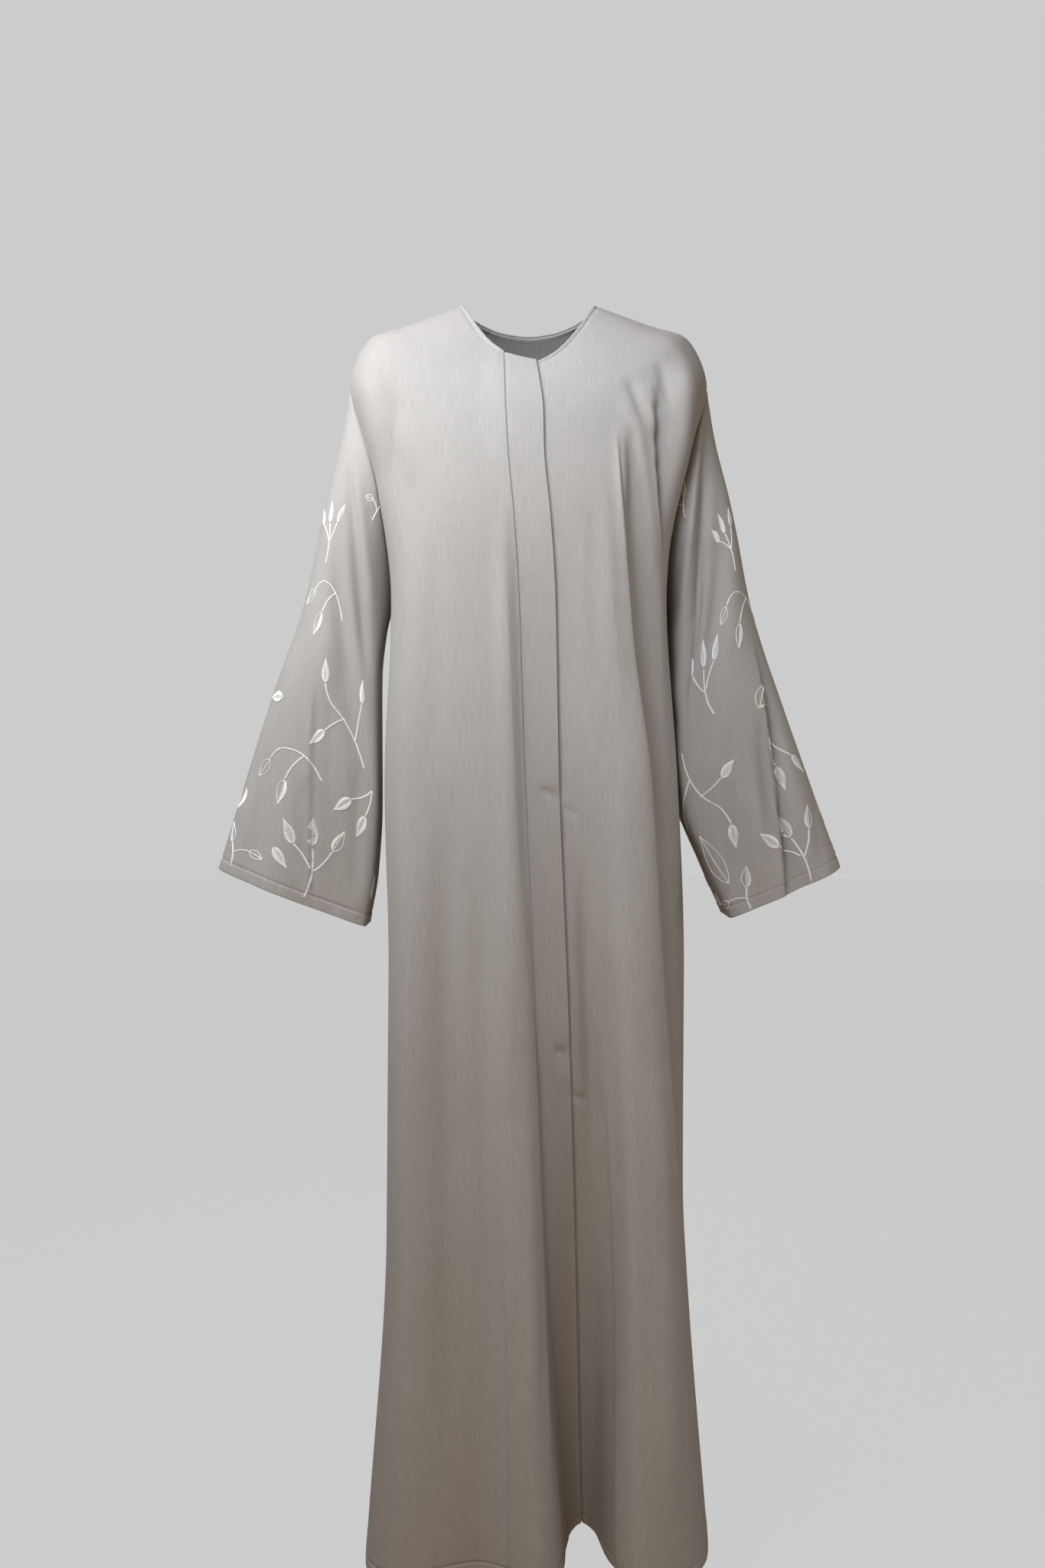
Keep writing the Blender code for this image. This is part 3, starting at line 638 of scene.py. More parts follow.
def press(points, normals, places, creases, side=0):
    """Moves points along their normals into soft troughs and ridges, given as bent lines in flat places.

    Side 1 keeps only what lies towards smaller x of a line that runs down, and side -1 the rest."""
    moved = np.zeros(points.shape[:2])
    for *row, half_width, depth in creases:
        line = bent(np.reshape(row, (3, 2)), CREASE_STEPS + 1)
        low, high = line.min(axis=0) - 3 * half_width, line.max(axis=0) + 3 * half_width
        close = np.all((places > low) & (places < high), axis=-1)
        gap = np.linalg.norm(places[close][:, None] - line[None], axis=2)
        nearest = np.clip(gap.argmin(axis=1), 1, CREASE_STEPS - 1)
        chord = line[nearest + 1] - line[nearest - 1]
        forward = unit(chord)
        off = places[close] - line[nearest]
        across = off[:, 0] * forward[:, 1] - off[:, 1] * forward[:, 0]
        along = (nearest + 2 * np.sum(off * forward, axis=1) / np.linalg.norm(chord, axis=1)) / CREASE_STEPS
        shape = bell(across, half_width) * ease(0.5 + side * across / STEP_WIDE if side else 1.0)
        moved[close] += depth * shape * ease(along / FADE) * ease((1 - along) / FADE)
    return points + normals * moved[..., None]


def lay_over(points, normals, places, overlaps):
    """Lifts cloth up to the edge of a fold and drops it behind that edge, with a sharp step between them."""
    for *line, half_width, lift, drop in overlaps:
        before, behind = (press(points, normals, places, [(*line, half_width, 1.0)], side) - points
                          for side in (1, -1))
        points = points + before * lift - behind * drop
    return points


def facing(points, normals, way):
    """Places x, z of points that face a way along y, -1 for the front; the others are put out of reach."""
    return points[..., [0, 2]] + np.where(normals[..., 1:2] * way > 0, 0.0, FAR)


def press_front(points, normals):
    """Creases and overlaps of a front, and the cloth that the shoulder holds out."""
    places = facing(points, normals, -1)
    forward = np.broadcast_to((0.0, -1.0, 0.0), points.shape)
    points = press(points, forward, places, HELD_OUT)
    points = press(points, normals, places, CREASES_FRONT)
    return lay_over(points, normals, places, OVERLAPS_FRONT)


def distance_to(points, line):
    """Distance in centimetres from every point of a grid to a line, and how far along the line that is."""
    places = lengths_along(line)
    wanted = spaced(0.0, places[-1], LINE_STEP)
    tree = tree_of(read_at(line, places, wanted))
    found = [tree.find(point) for point in points.reshape(-1, 3)]
    distance = np.array([item[2] for item in found]).reshape(points.shape[:2])
    along = wanted[np.array([item[1] for item in found])].reshape(points.shape[:2])
    return distance, along


def puckers(along, waves):
    """Uneven waves along a line of stitches."""
    return sum(height * np.sin(along * turns + start) for height, turns, start in waves)


def seam(distance, along, deep=SEAM_DEEP):
    """How far cloth beside a seam moves out: a groove at the seam, then a low roll with fine puckers."""
    groove = -deep * bell(distance, GROOVE_WIDE)
    roll = ROLL_HIGH + ROLL_PUCKER * puckers(along, SEAM_WAVES)
    return groove + roll * bell(distance, ROLL_WIDE, ROLL_AT)


def hem(distance, along, turned=HEM_FOLD):
    """How far cloth beside a turned and stitched edge moves out."""
    doubled = HEM_DOUBLED * ease((turned - distance) / HEM_STEP_WIDE)
    groove = -HEM_DEEP * bell(distance, HEM_GROOVE_WIDE, turned)
    pucker = HEM_PUCKER * puckers(along, HEM_WAVES) * bell(distance, HEM_PUCKER_WIDE, turned * HEM_PUCKER_AT)
    return doubled + groove + pucker


print("a seam's groove is", round(-float(seam(0.0, 0.0)), 2), "cm deep")

# %% [markdown]
# ## Sewing a line of stitches
# A machine stitch is a short thread that dips into the cloth at both ends, so a small spindle is enough: a
# UV sphere with few faces, stretched along the stitch and half sunk. The same spindle, made longer and
# glossier, gives a satin stitch. A seam line takes hundreds of them. An operator slows down on a large mesh,
# so they are made eight at a time and joined into one piece.

# %% Stitches
FIRST_STITCH = 0.1      # a line of stitches starts this far from its end


def sew(threads, start, end, normal, width, height):
    """Adds one stitch between two points in centimetres, lying on a surface with that normal."""
    along = (end - start) / 2
    forward = unit(along)
    up = unit(normal - forward * np.dot(normal, forward))
    side = np.cross(up, forward)
    columns = np.stack([side * width / 2, up * height, along], axis=1) * CM
    matrix = Matrix.Translation(Vector((start + end) / 2 * CM)) @ Matrix(columns.tolist()).to_4x4()
    bmesh.ops.create_uvsphere(threads, u_segments=6, v_segments=3, radius=1.0, matrix=matrix)


def join_threads(name, stitches, material):
    """One piece from many stitches, worked a few at a time."""
    lot = 8
    joined = bmesh.new()
    part = bpy.data.meshes.new("part")
    for first in range(0, len(stitches), lot):
        few = bmesh.new()
        for stitch in stitches[first:first + lot]:
            sew(few, *stitch)
        few.to_mesh(part)
        few.free()
        joined.from_mesh(part)
        part.clear_geometry()
    bpy.data.meshes.remove(part)
    for face in joined.faces:
        face.smooth = True
    return mesh_piece(name, joined, material)


def stitch_line(line, normals, length=0.26, gap=0.07, width=0.05, height=0.03):
    """A line of machine stitches on points and normals in centimetres."""
    places = lengths_along(line)
    stitches = []
    for start in np.arange(FIRST_STITCH, places[-1] - length, length + gap):
        first, last = (read_at(line, places, at) for at in (start, start + length))
        stitches.append((first, last, read_at(normals, places, start), width, height))
    return stitches


trial = stitch_line(np.array([[0.0, 0, 0], [3.0, 0, 0]]), np.array([[0.0, 0, 1], [0, 0, 1]]))
print("3 cm of seam take", len(trial), "stitches")

# %% [markdown]
# ## Sleeves
# A wide sleeve is one piece of cloth, folded over the arm and closed by a seam under it. It hangs from the
# armhole as a flattened tube: the arm's line holds its outer edge, and the inner edge falls towards the hem.
# Sections along the sleeve give that shape, and creases pressed into it give the pleats that break at the
# elbow. The tube starts on the armhole's line, tucked a millimetre under it. Its grid begins at the underarm
# seam, and the two edges that meet there are welded. The sections are the solid model's, but boxier, and
# the left sleeve's inner edge lies a few millimetres nearer to the body.

# %% Sleeve tables
# under 1 a section is boxy, and more so the lower: at the armhole, the cuff and the front's inner half
SLEEVE_POINT_TOP, SLEEVE_POINT_CUFF, INNER_POINT = 0.70, 0.78, 0.12
SLEEVE_BLEND = 0.22     # share of the length over which a sleeve is eased into its armhole
FADE_IN, FADE_OUT = 0.25, 0.2    # shares of the length over which a pleat starts and ends
SLEEVE_COLUMNS = 161
ARMHOLE_POINTS = 181
# share of the length, outer x, outer z, inner x, inner z, y of the middle, depth in front, depth behind
SLEEVE_LEFT = (
    (0.00, 21.4,  -9.8, 17.0, -36.0,  0.8, 4.6, 4.6),
    (0.10, 22.2, -15.6, 17.5, -40.0,  0.5, 5.9, 6.2),
    (0.25, 24.2, -25.0, 17.3, -45.5,  0.0, 6.6, 6.8),
    (0.45, 26.3, -36.2, 17.1, -52.5, -0.5, 6.9, 7.0),
    (0.65, 29.6, -46.8, 17.8, -60.0, -0.9, 7.4, 7.2),
    (0.83, 33.1, -57.0, 20.3, -66.6, -1.2, 7.9, 7.6),
    (1.00, 36.6, -66.9, 23.0, -72.7, -1.4, 8.4, 8.0),
)
SLEEVE_RIGHT = (
    (0.00, -21.4,  -9.8, -17.0, -36.0,  0.8, 4.6, 4.6),
    (0.10, -22.3, -15.6, -17.5, -40.0,  0.5, 5.9, 6.2),
    (0.25, -24.3, -25.0, -17.6, -45.5,  0.0, 6.4, 6.5),
    (0.45, -26.6, -36.2, -17.5, -52.5, -0.7, 6.4, 6.5),
    (0.65, -30.2, -46.8, -17.4, -60.0, -1.2, 6.4, 6.5),
    (0.83, -33.4, -57.0, -17.8, -67.6, -1.5, 6.4, 6.6),
    (1.00, -36.5, -67.2, -18.8, -73.8, -1.7, 6.4, 6.8),
)
# name, share where it starts and ends, angle at its start and end, half width in degrees, depth
CREASES_LEFT = (
    ("upper_front", 0.10, 0.70,  38, 165, 24, 0.9),
    ("wing",        0.55, 1.30,  64,  84, 17, 1.6),
    ("lower_front", 0.60, 1.30, 118, 128, 20, 0.5),
    ("back_long",   0.20, 1.30, 300, 272, 24, 1.1),
    ("back_inner",  0.45, 1.30, 232, 225, 20, 0.9),
)
CREASES_RIGHT = (
    ("upper_front", 0.10, 0.70,  40, 160, 24, 0.8),
    ("wing",        0.60, 1.30,  48,  58, 18, 0.7),
    ("lower_front", 0.65, 1.30, 120, 128, 22, 0.4),
    ("back_long",   0.20, 1.30, 298, 275, 24, 1.1),
    ("back_inner",  0.45, 1.30, 236, 226, 20, 0.9),
)
print("sleeve sections", len(SLEEVE_LEFT), "and", len(SLEEVE_RIGHT))


# %% Sleeve surface
def sleeve_surface(sections, creases, share, angle):
    """Points of a sleeve, before it is eased into its armhole. Angle 0 is the outer edge, 90 the front."""
    table = np.array(sections)
    values = through(table[:, 0], table[:, 1:], share)
    outer = values[:, [0, 1]]
    inner = values[:, [2, 3]]
    middle_y, front, back = (values[:, [column]] for column in (4, 5, 6))
    swing, face = np.cos(angle), np.sin(angle)
    half, middle = (outer - inner) / 2, (outer + inner) / 2
    flat = middle[:, None, :] + half[:, None, :] * swing[..., None]
    point = SLEEVE_POINT_TOP + (SLEEVE_POINT_CUFF - SLEEVE_POINT_TOP) * share[:, None]
    point = np.where((swing < 0) & (face > 0), INNER_POINT, point)
    depth = np.where(face > 0, -front, back) * np.abs(face) ** point
    points = np.stack([flat[..., 0], middle_y + depth, flat[..., 1]], axis=-1)
    inward = unit(np.concatenate([middle, middle_y], axis=1)[:, None, [0, 2, 1]] - points)
    for _, start, end, start_angle, end_angle, half_width, crease_depth in creases:
        way = np.clip((share - start) / (end - start), 0, 1)
        centre = np.radians(start_angle + (end_angle - start_angle) * way)[:, None]
        off = (angle - centre + np.pi) % (2 * np.pi) - np.pi
        shape = bell(off, np.radians(half_width))
        fade = ease((share - start) / FADE_IN) * ease((end - share) / FADE_OUT)
        points = points + inward * (shape * crease_depth * fade[:, None])[..., None]
    return points


def armhole_line(wearers_left, count):
    """Points, normals and angles round one armhole, from the underarm up the back and down the front."""
    turn = (1 - np.cos(np.pi * np.linspace(0, 1, ARMHOLE_POINTS))) / 2
    down = ARMHOLE_TOP + (ARMHOLE_BOTTOM - ARMHOLE_TOP) * turn
    side = COLUMN["side_left"] if wearers_left else FULL_TURN
    outward = 1 if wearers_left else -1
    cut = armhole_share(down)
    rows = np.concatenate([down[::-1], down[1:]])
    back_columns, front_columns = side + outward * ARMHOLE_BACK * cut, side - outward * ARMHOLE_FRONT * cut
    columns = np.concatenate([back_columns[::-1], front_columns[1:]])
    points = body_points(rows, columns[:, None])[:, 0]
    normals = body_normals(rows, columns[:, None])[:, 0]
    half = len(down) - 1
    lengths = np.linalg.norm(np.diff(points, axis=0), axis=1)
    back, front = np.cumsum(lengths[:half]), np.cumsum(lengths[half:])
    angle = np.concatenate([[180.0], 180 + 180 * back / back[-1], 360 + 180 * front / front[-1]])
    wanted = np.linspace(180, 540, count)
    return read_at(points, angle, wanted), unit(read_at(normals, angle, wanted)), np.radians(wanted)


loop, _, _ = armhole_line(True, SLEEVE_COLUMNS)
print("armhole, cm round:", np.linalg.norm(np.diff(loop, axis=0), axis=1).sum().round(1))

# %% Sleeve cloth
CUFF_FOLD = 1.3
ARMHOLE_DEEP, UNDERARM_DEEP = 0.12, 0.06
TUCKED_UNDER = 0.1
# rows of a sleeve as shares of its length, from, to and step: fine at the armhole and at the cuff
SLEEVE_ROWS = ((0, 0.03, 0.0035), (0.03, 0.965, 0.0058), (0.965, 1, 0.0022))
# smaller creases on the front of a sleeve, as x, z of start, middle and end, half width, depth
WRINKLES_LEFT = (
    (21.1, -13.5, 19.2, -35.0, 18.5, -54.0, 0.68, -1.0),
    (20.5, -11.5, 18.9, -25.0, 17.6, -44.0, 0.60, 0.65),
    (23.6, -26.0, 24.2, -34.0, 23.6, -42.0, 1.0, 0.12),
    (23.0, -48.0, 23.6, -58.0, 23.9, -73.0, 0.9, -0.30),
    (25.3, -44.0, 26.2, -58.0, 26.4, -74.0, 0.9, 0.35),
    (20.6, -52.0, 21.2, -60.0, 21.4, -70.0, 0.9, 0.16),
    (32.4, -58.0, 33.6, -63.0, 33.4, -68.5, 0.8, -0.25),
)
WRINKLES_RIGHT = (
    (-21.2, -19.5, -19.8, -30.0, -18.4, -48.0, 0.65, -0.50),
    (-20.2, -20.0, -18.8, -30.0, -17.8, -40.0, 0.60, 0.28),
    (-23.8, -26.0, -24.6, -35.0, -24.0, -44.0, 1.0, -0.14),
    (-22.0, -42.0, -23.6, -54.0, -22.6, -66.0, 1.2, -0.20),
    (-27.0, -40.0, -28.6, -52.0, -28.2, -66.0, 1.3, 0.20),
    (-30.4, -52.0, -31.4, -60.0, -31.2, -68.5, 0.9, -0.22),
    (-25.4, -56.0, -26.2, -62.0, -25.2, -70.0, 1.0, -0.20),
    (-19.6, -54.0, -19.6, -62.0, -19.9, -72.0, 0.8, -0.25),
)
# where one fold of a sleeve lies over the next, in the columns of OVERLAPS_FRONT
OVERLAPS_LEFT = ((26.0, -40.0, 28.6, -55.0, 29.5, -76.0, 1.2, 0.35, 0.90),)
OVERLAPS_RIGHT = ((-24.4, -44.0, -25.2, -56.0, -24.8, -76.0, 0.9, 0.10, 0.22),)
# where the left sleeve's inner edge leans in to the body: x, z of its line, half width, distance
LEANS_IN = ((17.2, -36.5, 17.2, -43.5, 17.1, -50.5, 1.6, 0.42),)
# creases on the back of both sleeves, as cm round from the outer edge and cm down, half width, depth
WRINKLES_BEHIND = (
    (-6.0, 8.0, -9.0, 18.0, -7.0, 30.0, 1.1, -0.22),
    (-14.0, 16.0, -12.0, 26.0, -14.0, 38.0, 1.2, -0.18),
    (-9.0, 34.0, -12.0, 42.0, -10.0, 54.0, 1.3, 0.16),
    (-4.0, 44.0, -5.0, 50.0, -4.0, 57.0, 1.0, -0.16),
)


def make_sleeve(name, sections, creases, wrinkles, overlaps, wearers_left):
    """A sleeve of cloth, and the grid that its stitches and embroidery are set on."""
    loop, loop_normals, turned = armhole_line(wearers_left, SLEEVE_COLUMNS)
    loop = press_front(loop[None], loop_normals[None])[0]
    runs = [spaced(*run) for run in SLEEVE_ROWS]
    share = np.concatenate([runs[0], *(run[1:] for run in runs[1:])])
    angle = np.tile(turned, (len(share), 1))
    points = sleeve_surface(sections, creases, share, angle)
    hold = (1 - ease(share / SLEEVE_BLEND))[:, None, None]
    points = points + hold * (loop - points[0])[None]
    outward = points - points.mean(axis=1, keepdims=True)
    wide, wide_outward = (np.concatenate([values[:, -2:-1], values, values[:, 1:2]], axis=1)
                          for values in (points, outward))
    normals = grid_normals(wide, wide_outward)[:, 1:-1]
    around, down = flat_places(points, SLEEVE_COLUMNS // 2)
    cut = cut_size(points, around, down)
    front_places = facing(points, normals, -1)
    points = press(points, normals, front_places, wrinkles)
    points = lay_over(points, normals, front_places, overlaps)
    points = press(points, normals, np.stack([around, down], axis=-1), WRINKLES_BEHIND)
    if wearers_left:
        inward = np.broadcast_to((-1.0, 0.0, 0.0), points.shape)
        points = press(points, inward, points[..., [0, 2]], LEANS_IN)
    armhole_gap, armhole_along = distance_to(points, points[0])
    cuff_gap, cuff_along = distance_to(points, points[-1])
    under_gap, under_along = distance_to(points, points[:, 0])
    moved = seam(armhole_gap, armhole_along, ARMHOLE_DEEP) + seam(under_gap, under_along, UNDERARM_DEEP)
    moved = moved + hem(cuff_gap, cuff_along, CUFF_FOLD)
    points = points + normals * moved[..., None]
    points[0] = loop + unit(points[3] - points[0]) * SEAM_GAP / 2 - loop_normals * TUCKED_UNDER
    points[:, -1] = points[:, 0]
    piece = lay_cloth(name, points, normals, around, down, cloth, tube=True)
    say_flat(name, cut)
    grid = {"points": points, "normals": normals, "around": around, "down": down, "cuff_gap": cuff_gap}
    return piece, grid, cut


sleeve_left, grid_left, cut_left = make_sleeve(
    "cloth_sleeve_left", SLEEVE_LEFT, CREASES_LEFT, WRINKLES_LEFT, OVERLAPS_LEFT, True)
sleeve_right, grid_right, cut_right = make_sleeve(
    "cloth_sleeve_right", SLEEVE_RIGHT, CREASES_RIGHT, WRINKLES_RIGHT, OVERLAPS_RIGHT, False)

# %% [markdown]
# ## Fronts and back
# Each body panel is cut with its grain down the centre front or centre back, and flares towards the hem. The
# panel's grid runs between two fold lines and is drawn in where the armhole is cut. The right front carries
# the placket strip: towards the stitched line its cloth rises to the strip's face. The left front runs on
# under the strip, and dips where the strip's free edge crosses it, so that the edge throws a thin shadow.

# %% Panel cloth
COLUMN_STEP, BACK_STEP = 0.27, 0.5
NECK_FOLD = 0.4
PLACKET_RISE = 0.23     # how far the strip's face stands out from the body's form
PROUD = 0.05            # the right front stands out this much more at the stitched line
PRESSED_RUN = 3.2       # and falls back to the form over this distance
# the dip of the left front: depth and half width, then its place in columns past the strip's free edge, and
# the fine columns that are laid there
TUCK_DEEP, TUCK_WIDE, TUCK_AT = 0.26, 0.17, 0.06
TUCK_COLUMNS = (-0.12, 0.30, 0.04)
EXTENSION = 0.82        # how many columns the left front runs on under the strip


def make_panel(name, even, first_cut, last_cut, centre, rise=0.0, tuck=None, last_groove=SEAM_DEEP):
    """A body panel of cloth, with its grid. rise lifts its last edge, and tuck is a column pushed in."""
    columns = panel_columns(down_rows, even, first_cut, last_cut)
    points = body_points(down_rows, columns)
    normals = body_normals(down_rows, columns)
    if rise:
        gap, _ = distance_to(points, points[:, -1])
        points = points + normals * (rise * ease(1 - gap / PRESSED_RUN))[..., None]
    around, down = flat_places(points, centre)
    cut = cut_size(points, around, down)
    points = press_front(points, normals)
    points = press(points, normals, facing(points, normals, 1), CREASES_BACK)
    moved = np.zeros(points.shape[:2])
    if tuck is not None:
        under = np.argmin(np.abs(even - tuck))
        gap, _ = distance_to(points, points[:, under])
        moved = moved - TUCK_DEEP * bell(gap, TUCK_WIDE)
    for edge, groove in ((points[:, 0], SEAM_DEEP), (points[:, -1], last_groove)):
        if groove:
            moved = moved + seam(*distance_to(points, edge), groove)
    for edge, turned in ((points[-1], HEM_FOLD), (points[0], NECK_FOLD)):
        moved = moved + hem(*distance_to(points, edge), turned)
    for edge, inside in ((0, 1), (-1, -2)):
        points[:, edge] += unit(points[:, inside] - points[:, edge]) * SEAM_GAP / 2
    points = points + normals * moved[..., None]
    piece = lay_cloth(name, points, normals, around, down, cloth)
    say_flat(name, cut)
    return piece, {"points": points, "normals": normals}, cut


# creases of the back, in the columns of CREASES_FRONT
CREASES_BACK = (
    (-12.0, -14.0, -10.0, -20.0, -11.0, -30.0, 1.2, -0.30),
    (12.0, -13.0, 10.5, -20.0, 11.5, -29.0, 1.2, -0.30),
    (-3.0, -20.0, -2.4, -34.0, -3.0, -56.0, 1.4, -0.20),
    (3.2, -26.0, 2.6, -44.0, 3.4, -62.0, 1.4, -0.22),
    (-7.4, -60.0, -7.8, -84.0, -8.4, -118.0, 1.3, -0.28),
    (7.8, -58.0, 8.2, -86.0, 8.0, -124.0, 1.3, -0.28),
    (-12.8, -76.0, -13.0, -98.0, -13.4, -126.0, 1.2, 0.22),
    (12.4, -80.0, 12.8, -104.0, 13.2, -134.0, 1.2, 0.24),
    (2.4, -92.0, 2.8, -110.0, 2.2, -136.0, 1.2, -0.26),
)

right_even = even_by_width(0, COLUMN["stitch"], COLUMN_STEP)
front_right, grid_front_right, cut_front_right = make_panel(
    "cloth_front_right", right_even, ARMHOLE_FRONT, 0, -1, rise=PLACKET_RISE + PROUD, last_groove=0)

# %% Left front
left_even = even_by_width(COLUMN["opening"] - EXTENSION, COLUMN["side_left"], COLUMN_STEP)
under_edge = COLUMN["opening"] + np.arange(*TUCK_COLUMNS)
half_step = TUCK_COLUMNS[2] / 2
outside = (left_even < under_edge[0] - half_step) | (left_even > under_edge[-1] + half_step)
left_even = np.sort(np.concatenate([left_even[outside], under_edge]))
front_left, grid_front_left, cut_front_left = make_panel(
    "cloth_front_left", left_even, 0, ARMHOLE_FRONT, 0, tuck=COLUMN["opening"] + TUCK_AT)

# %% Back
back_even = even_by_width(COLUMN["side_left"], FULL_TURN, BACK_STEP)
back, grid_back, cut_back = make_panel(
    "cloth_back", back_even, ARMHOLE_BACK, ARMHOLE_BACK, len(back_even) // 2)

# %% [markdown]
# ## Placket
# The placket is a strip folded back on itself, so its free edge is a fold and not a cut. It lies on the left
# front and hides the snaps. Two things tell the eye so: the strip is nearly as thick as two layers, and its
# free edge is drawn down at the snaps. It is its own sheet, with its rim bevelled round.

# %% Placket strip
STRIP_THICK, STRIP_STEP = 0.15, 0.3
RIM_WIDE, RIM_CORNER = 0.05, 60.0        # cm, and degrees from which on a corner is bevelled
STITCH_DEEP, STITCH_WIDE = 0.05, 0.35    # the strip sinks a little at its stitched side
SNAP_HIGH, SNAP_FROM = 1.1, 0.35         # half height of a dent, and share of the width that it starts at
# dents of the strip's free edge: height in centimetres and depth; the three deepest are at snaps
SNAPS = ((-26.0, -0.05), (-42.0, -0.06), (-58.9, -0.22), (-74.0, -0.05), (-86.8, -0.20), (-91.4, -0.14),
         (-108.0, -0.06))
placket_even = even_by_width(COLUMN["stitch"], COLUMN["opening"], STRIP_STEP)


def make_placket():
    """The strip over the opening."""
    columns = np.tile(placket_even, (len(down_rows), 1))
    points = body_points(down_rows, columns)
    normals = body_normals(down_rows, columns)
    around, down = flat_places(points, 0)
    cut = cut_size(points, around, down)
    share = (placket_even - placket_even[0]) / (placket_even[-1] - placket_even[0])
    lift = np.full(points.shape[:2], PLACKET_RISE)
    for z, depth in SNAPS:
        dent = bell(points[:, :, 2], SNAP_HIGH, z)
        lift = lift + depth * dent * ease((share - SNAP_FROM) / (1 - SNAP_FROM))
    gap, _ = distance_to(points, points[:, 0])
    lift = lift - STITCH_DEEP * bell(gap, STITCH_WIDE)
    lift = lift + hem(*distance_to(points, points[-1]))
    points = press_front(points, normals)
    points[:, 0] += unit(points[:, 1] - points[:, 0]) * SEAM_GAP / 2
    points = points + normals * lift[..., None]
    piece = lay_cloth("cloth_placket", points, normals, around, down, cloth, STRIP_THICK)
    rim = piece.modifiers.new("folded_edge", "BEVEL")
    rim.width = RIM_WIDE * CM
    rim.segments = 2
    rim.limit_method = "ANGLE"
    rim.angle_limit = np.radians(RIM_CORNER)
    say_flat(piece.name, cut)
    return piece, {"points": points, "normals": normals}, cut


placket, grid_placket, cut_placket = make_placket()

# %% [markdown]
# ## Topstitching
# Stitches are seen in four places: beside the stitched side of the placket, along the hem, and round both
# cuffs. The lines of the hem and the cuffs follow the groove that was pressed for them, and the placket's
# runs close to the right front's edge. All are read from the cloth's own grid, so they can't float.

# %% Lines of stitches
BESIDE_EDGE = -3    # the stitches of the placket run along this column of the right front


def line_at_gap(grid, gap_name, wanted):
    """Points and normals of a grid at a given distance from an edge, one for each column."""
    points, normals, gap = grid["points"], grid["normals"], grid[gap_name]
    row = np.argmin(np.abs(gap - wanted), axis=0)
    columns = np.arange(points.shape[1])
    return points[row, columns], normals[row, columns]


def add_hem_gap(grid):
    """Distance of every point of a body panel to its hem."""
    grid["hem_gap"] = distance_to(grid["points"], grid["points"][-1])[0]
    return grid


hem_lines = [line_at_gap(add_hem_gap(grid), "hem_gap", HEM_FOLD)
             for grid in (grid_front_right, grid_front_left, grid_back, grid_placket)]
cuff_lines = [line_at_gap(grid, "cuff_gap", CUFF_FOLD) for grid in (grid_left, grid_right)]
placket_line = tuple(grid_front_right[part][:, BESIDE_EDGE] for part in ("points", "normals"))
seam_lines = (*hem_lines, *cuff_lines, placket_line)
all_stitches = [stitch for line in seam_lines for stitch in stitch_line(*line)]
stitching = join_threads("stitching", all_stitches, stitch_thread_painted_shade)
print("stitching has", len(stitching.data.polygons), "faces")

# %% [markdown]
# ## Embroidery
# The sleeves are worked with loose sprigs of leaves: stems in stem stitch, where each short stitch starts
# beside the second half of the last, and leaves in satin stitch, slanted from a centre vein like a
# herringbone. Some leaves are filled on one side of the vein, and some are only outlined. The sprigs are
# drawn flat, in centimetres, as an embroiderer would draw them on the cut sleeve, then carried onto the
# hanging sleeve, so they bend with its folds.

# %% Sprig drawings
# A stem is three points of a bent line. A leaf is its root, direction in degrees, length, width and filling.
SPRIGS = {
    "fan": {
        "stems": (((0, 0), (1.0, 2.6), (0.2, 5.6)), ((0.3, 3.2), (-0.6, 4.6), (-2.0, 5.4)),
                  ((0.6, 3.0), (1.8, 4.0), (2.6, 5.6))),
        "leaves": ((0.2, 5.6, 96, 3.1, 1.59, "full"), (-2.0, 5.4, 124, 2.89, 1.47, "full"),
                   (2.6, 5.6, 62, 2.78, 1.3, "half")),
    },
    "arch": {
        "stems": (((0, 0), (-2.4, 3.4), (-6.2, 2.6)), ((-2.6, 2.4), (-4.4, 1.2), (-4.9, -0.8)),
                  ((-6.2, 2.6), (-7.2, 2.2), (-7.8, 1.0))),
        "leaves": ((-4.9, -0.8, 262, 3.0, 1.52, "half"), (-7.8, 1.0, 240, 2.57, 1.3, "outline")),
    },
    "long": {
        "stems": (((0, 0), (1.2, 4.2), (4.6, 6.6)), ((1.3, 3.3), (0.6, 5.4), (-1.0, 7.4)),
                  ((4.6, 6.6), (6.2, 7.6), (6.6, 9.6)), ((3.0, 5.6), (4.8, 5.2), (6.4, 4.0))),
        "leaves": ((-1.0, 7.4, 118, 3.0, 1.52, "full"), (6.6, 9.6, 88, 3.0, 1.52, "full"),
                   (6.4, 4.0, 322, 2.89, 1.47, "full")),
    },
    "pair": {
        "stems": (((0, 0), (-0.8, -1.6), (-2.6, -2.6)), ((0, 0), (0.2, -1.8), (-0.2, -3.4))),
        "leaves": ((-2.6, -2.6, 232, 3.0, 1.47, "full"), (-0.2, -3.4, 262, 3.0, 1.47, "full")),
    },
    "loose": {"stems": (), "leaves": ((0, 0, 60, 3.1, 1.59, "full"),)},
    "half": {"stems": (), "leaves": ((0, 0, 60, 3.1, 1.9, "half"),)},
    "bud": {
        "stems": (((0, 0), (0.6, 1.4), (0.2, 2.8)), ((0.4, 1.6), (1.6, 2.0), (2.6, 1.6))),
        "leaves": ((0.2, 2.8, 98, 2.57, 1.3, "half"), (2.6, 1.6, 330, 2.03, 0.94, "outline")),
    },
    "blade": {"stems": (), "leaves": ((0, 0, 90, 6.85, 1.99, "outline"),)},
}
print(len(SPRIGS), "sprig drawings")


# %% Stitches on the sleeve
# shape of a leaf: how far its widest place lies towards its root, and how sharp its ends are
LEAF_BELLY, LEAF_SHARP = 0.78, 1.1
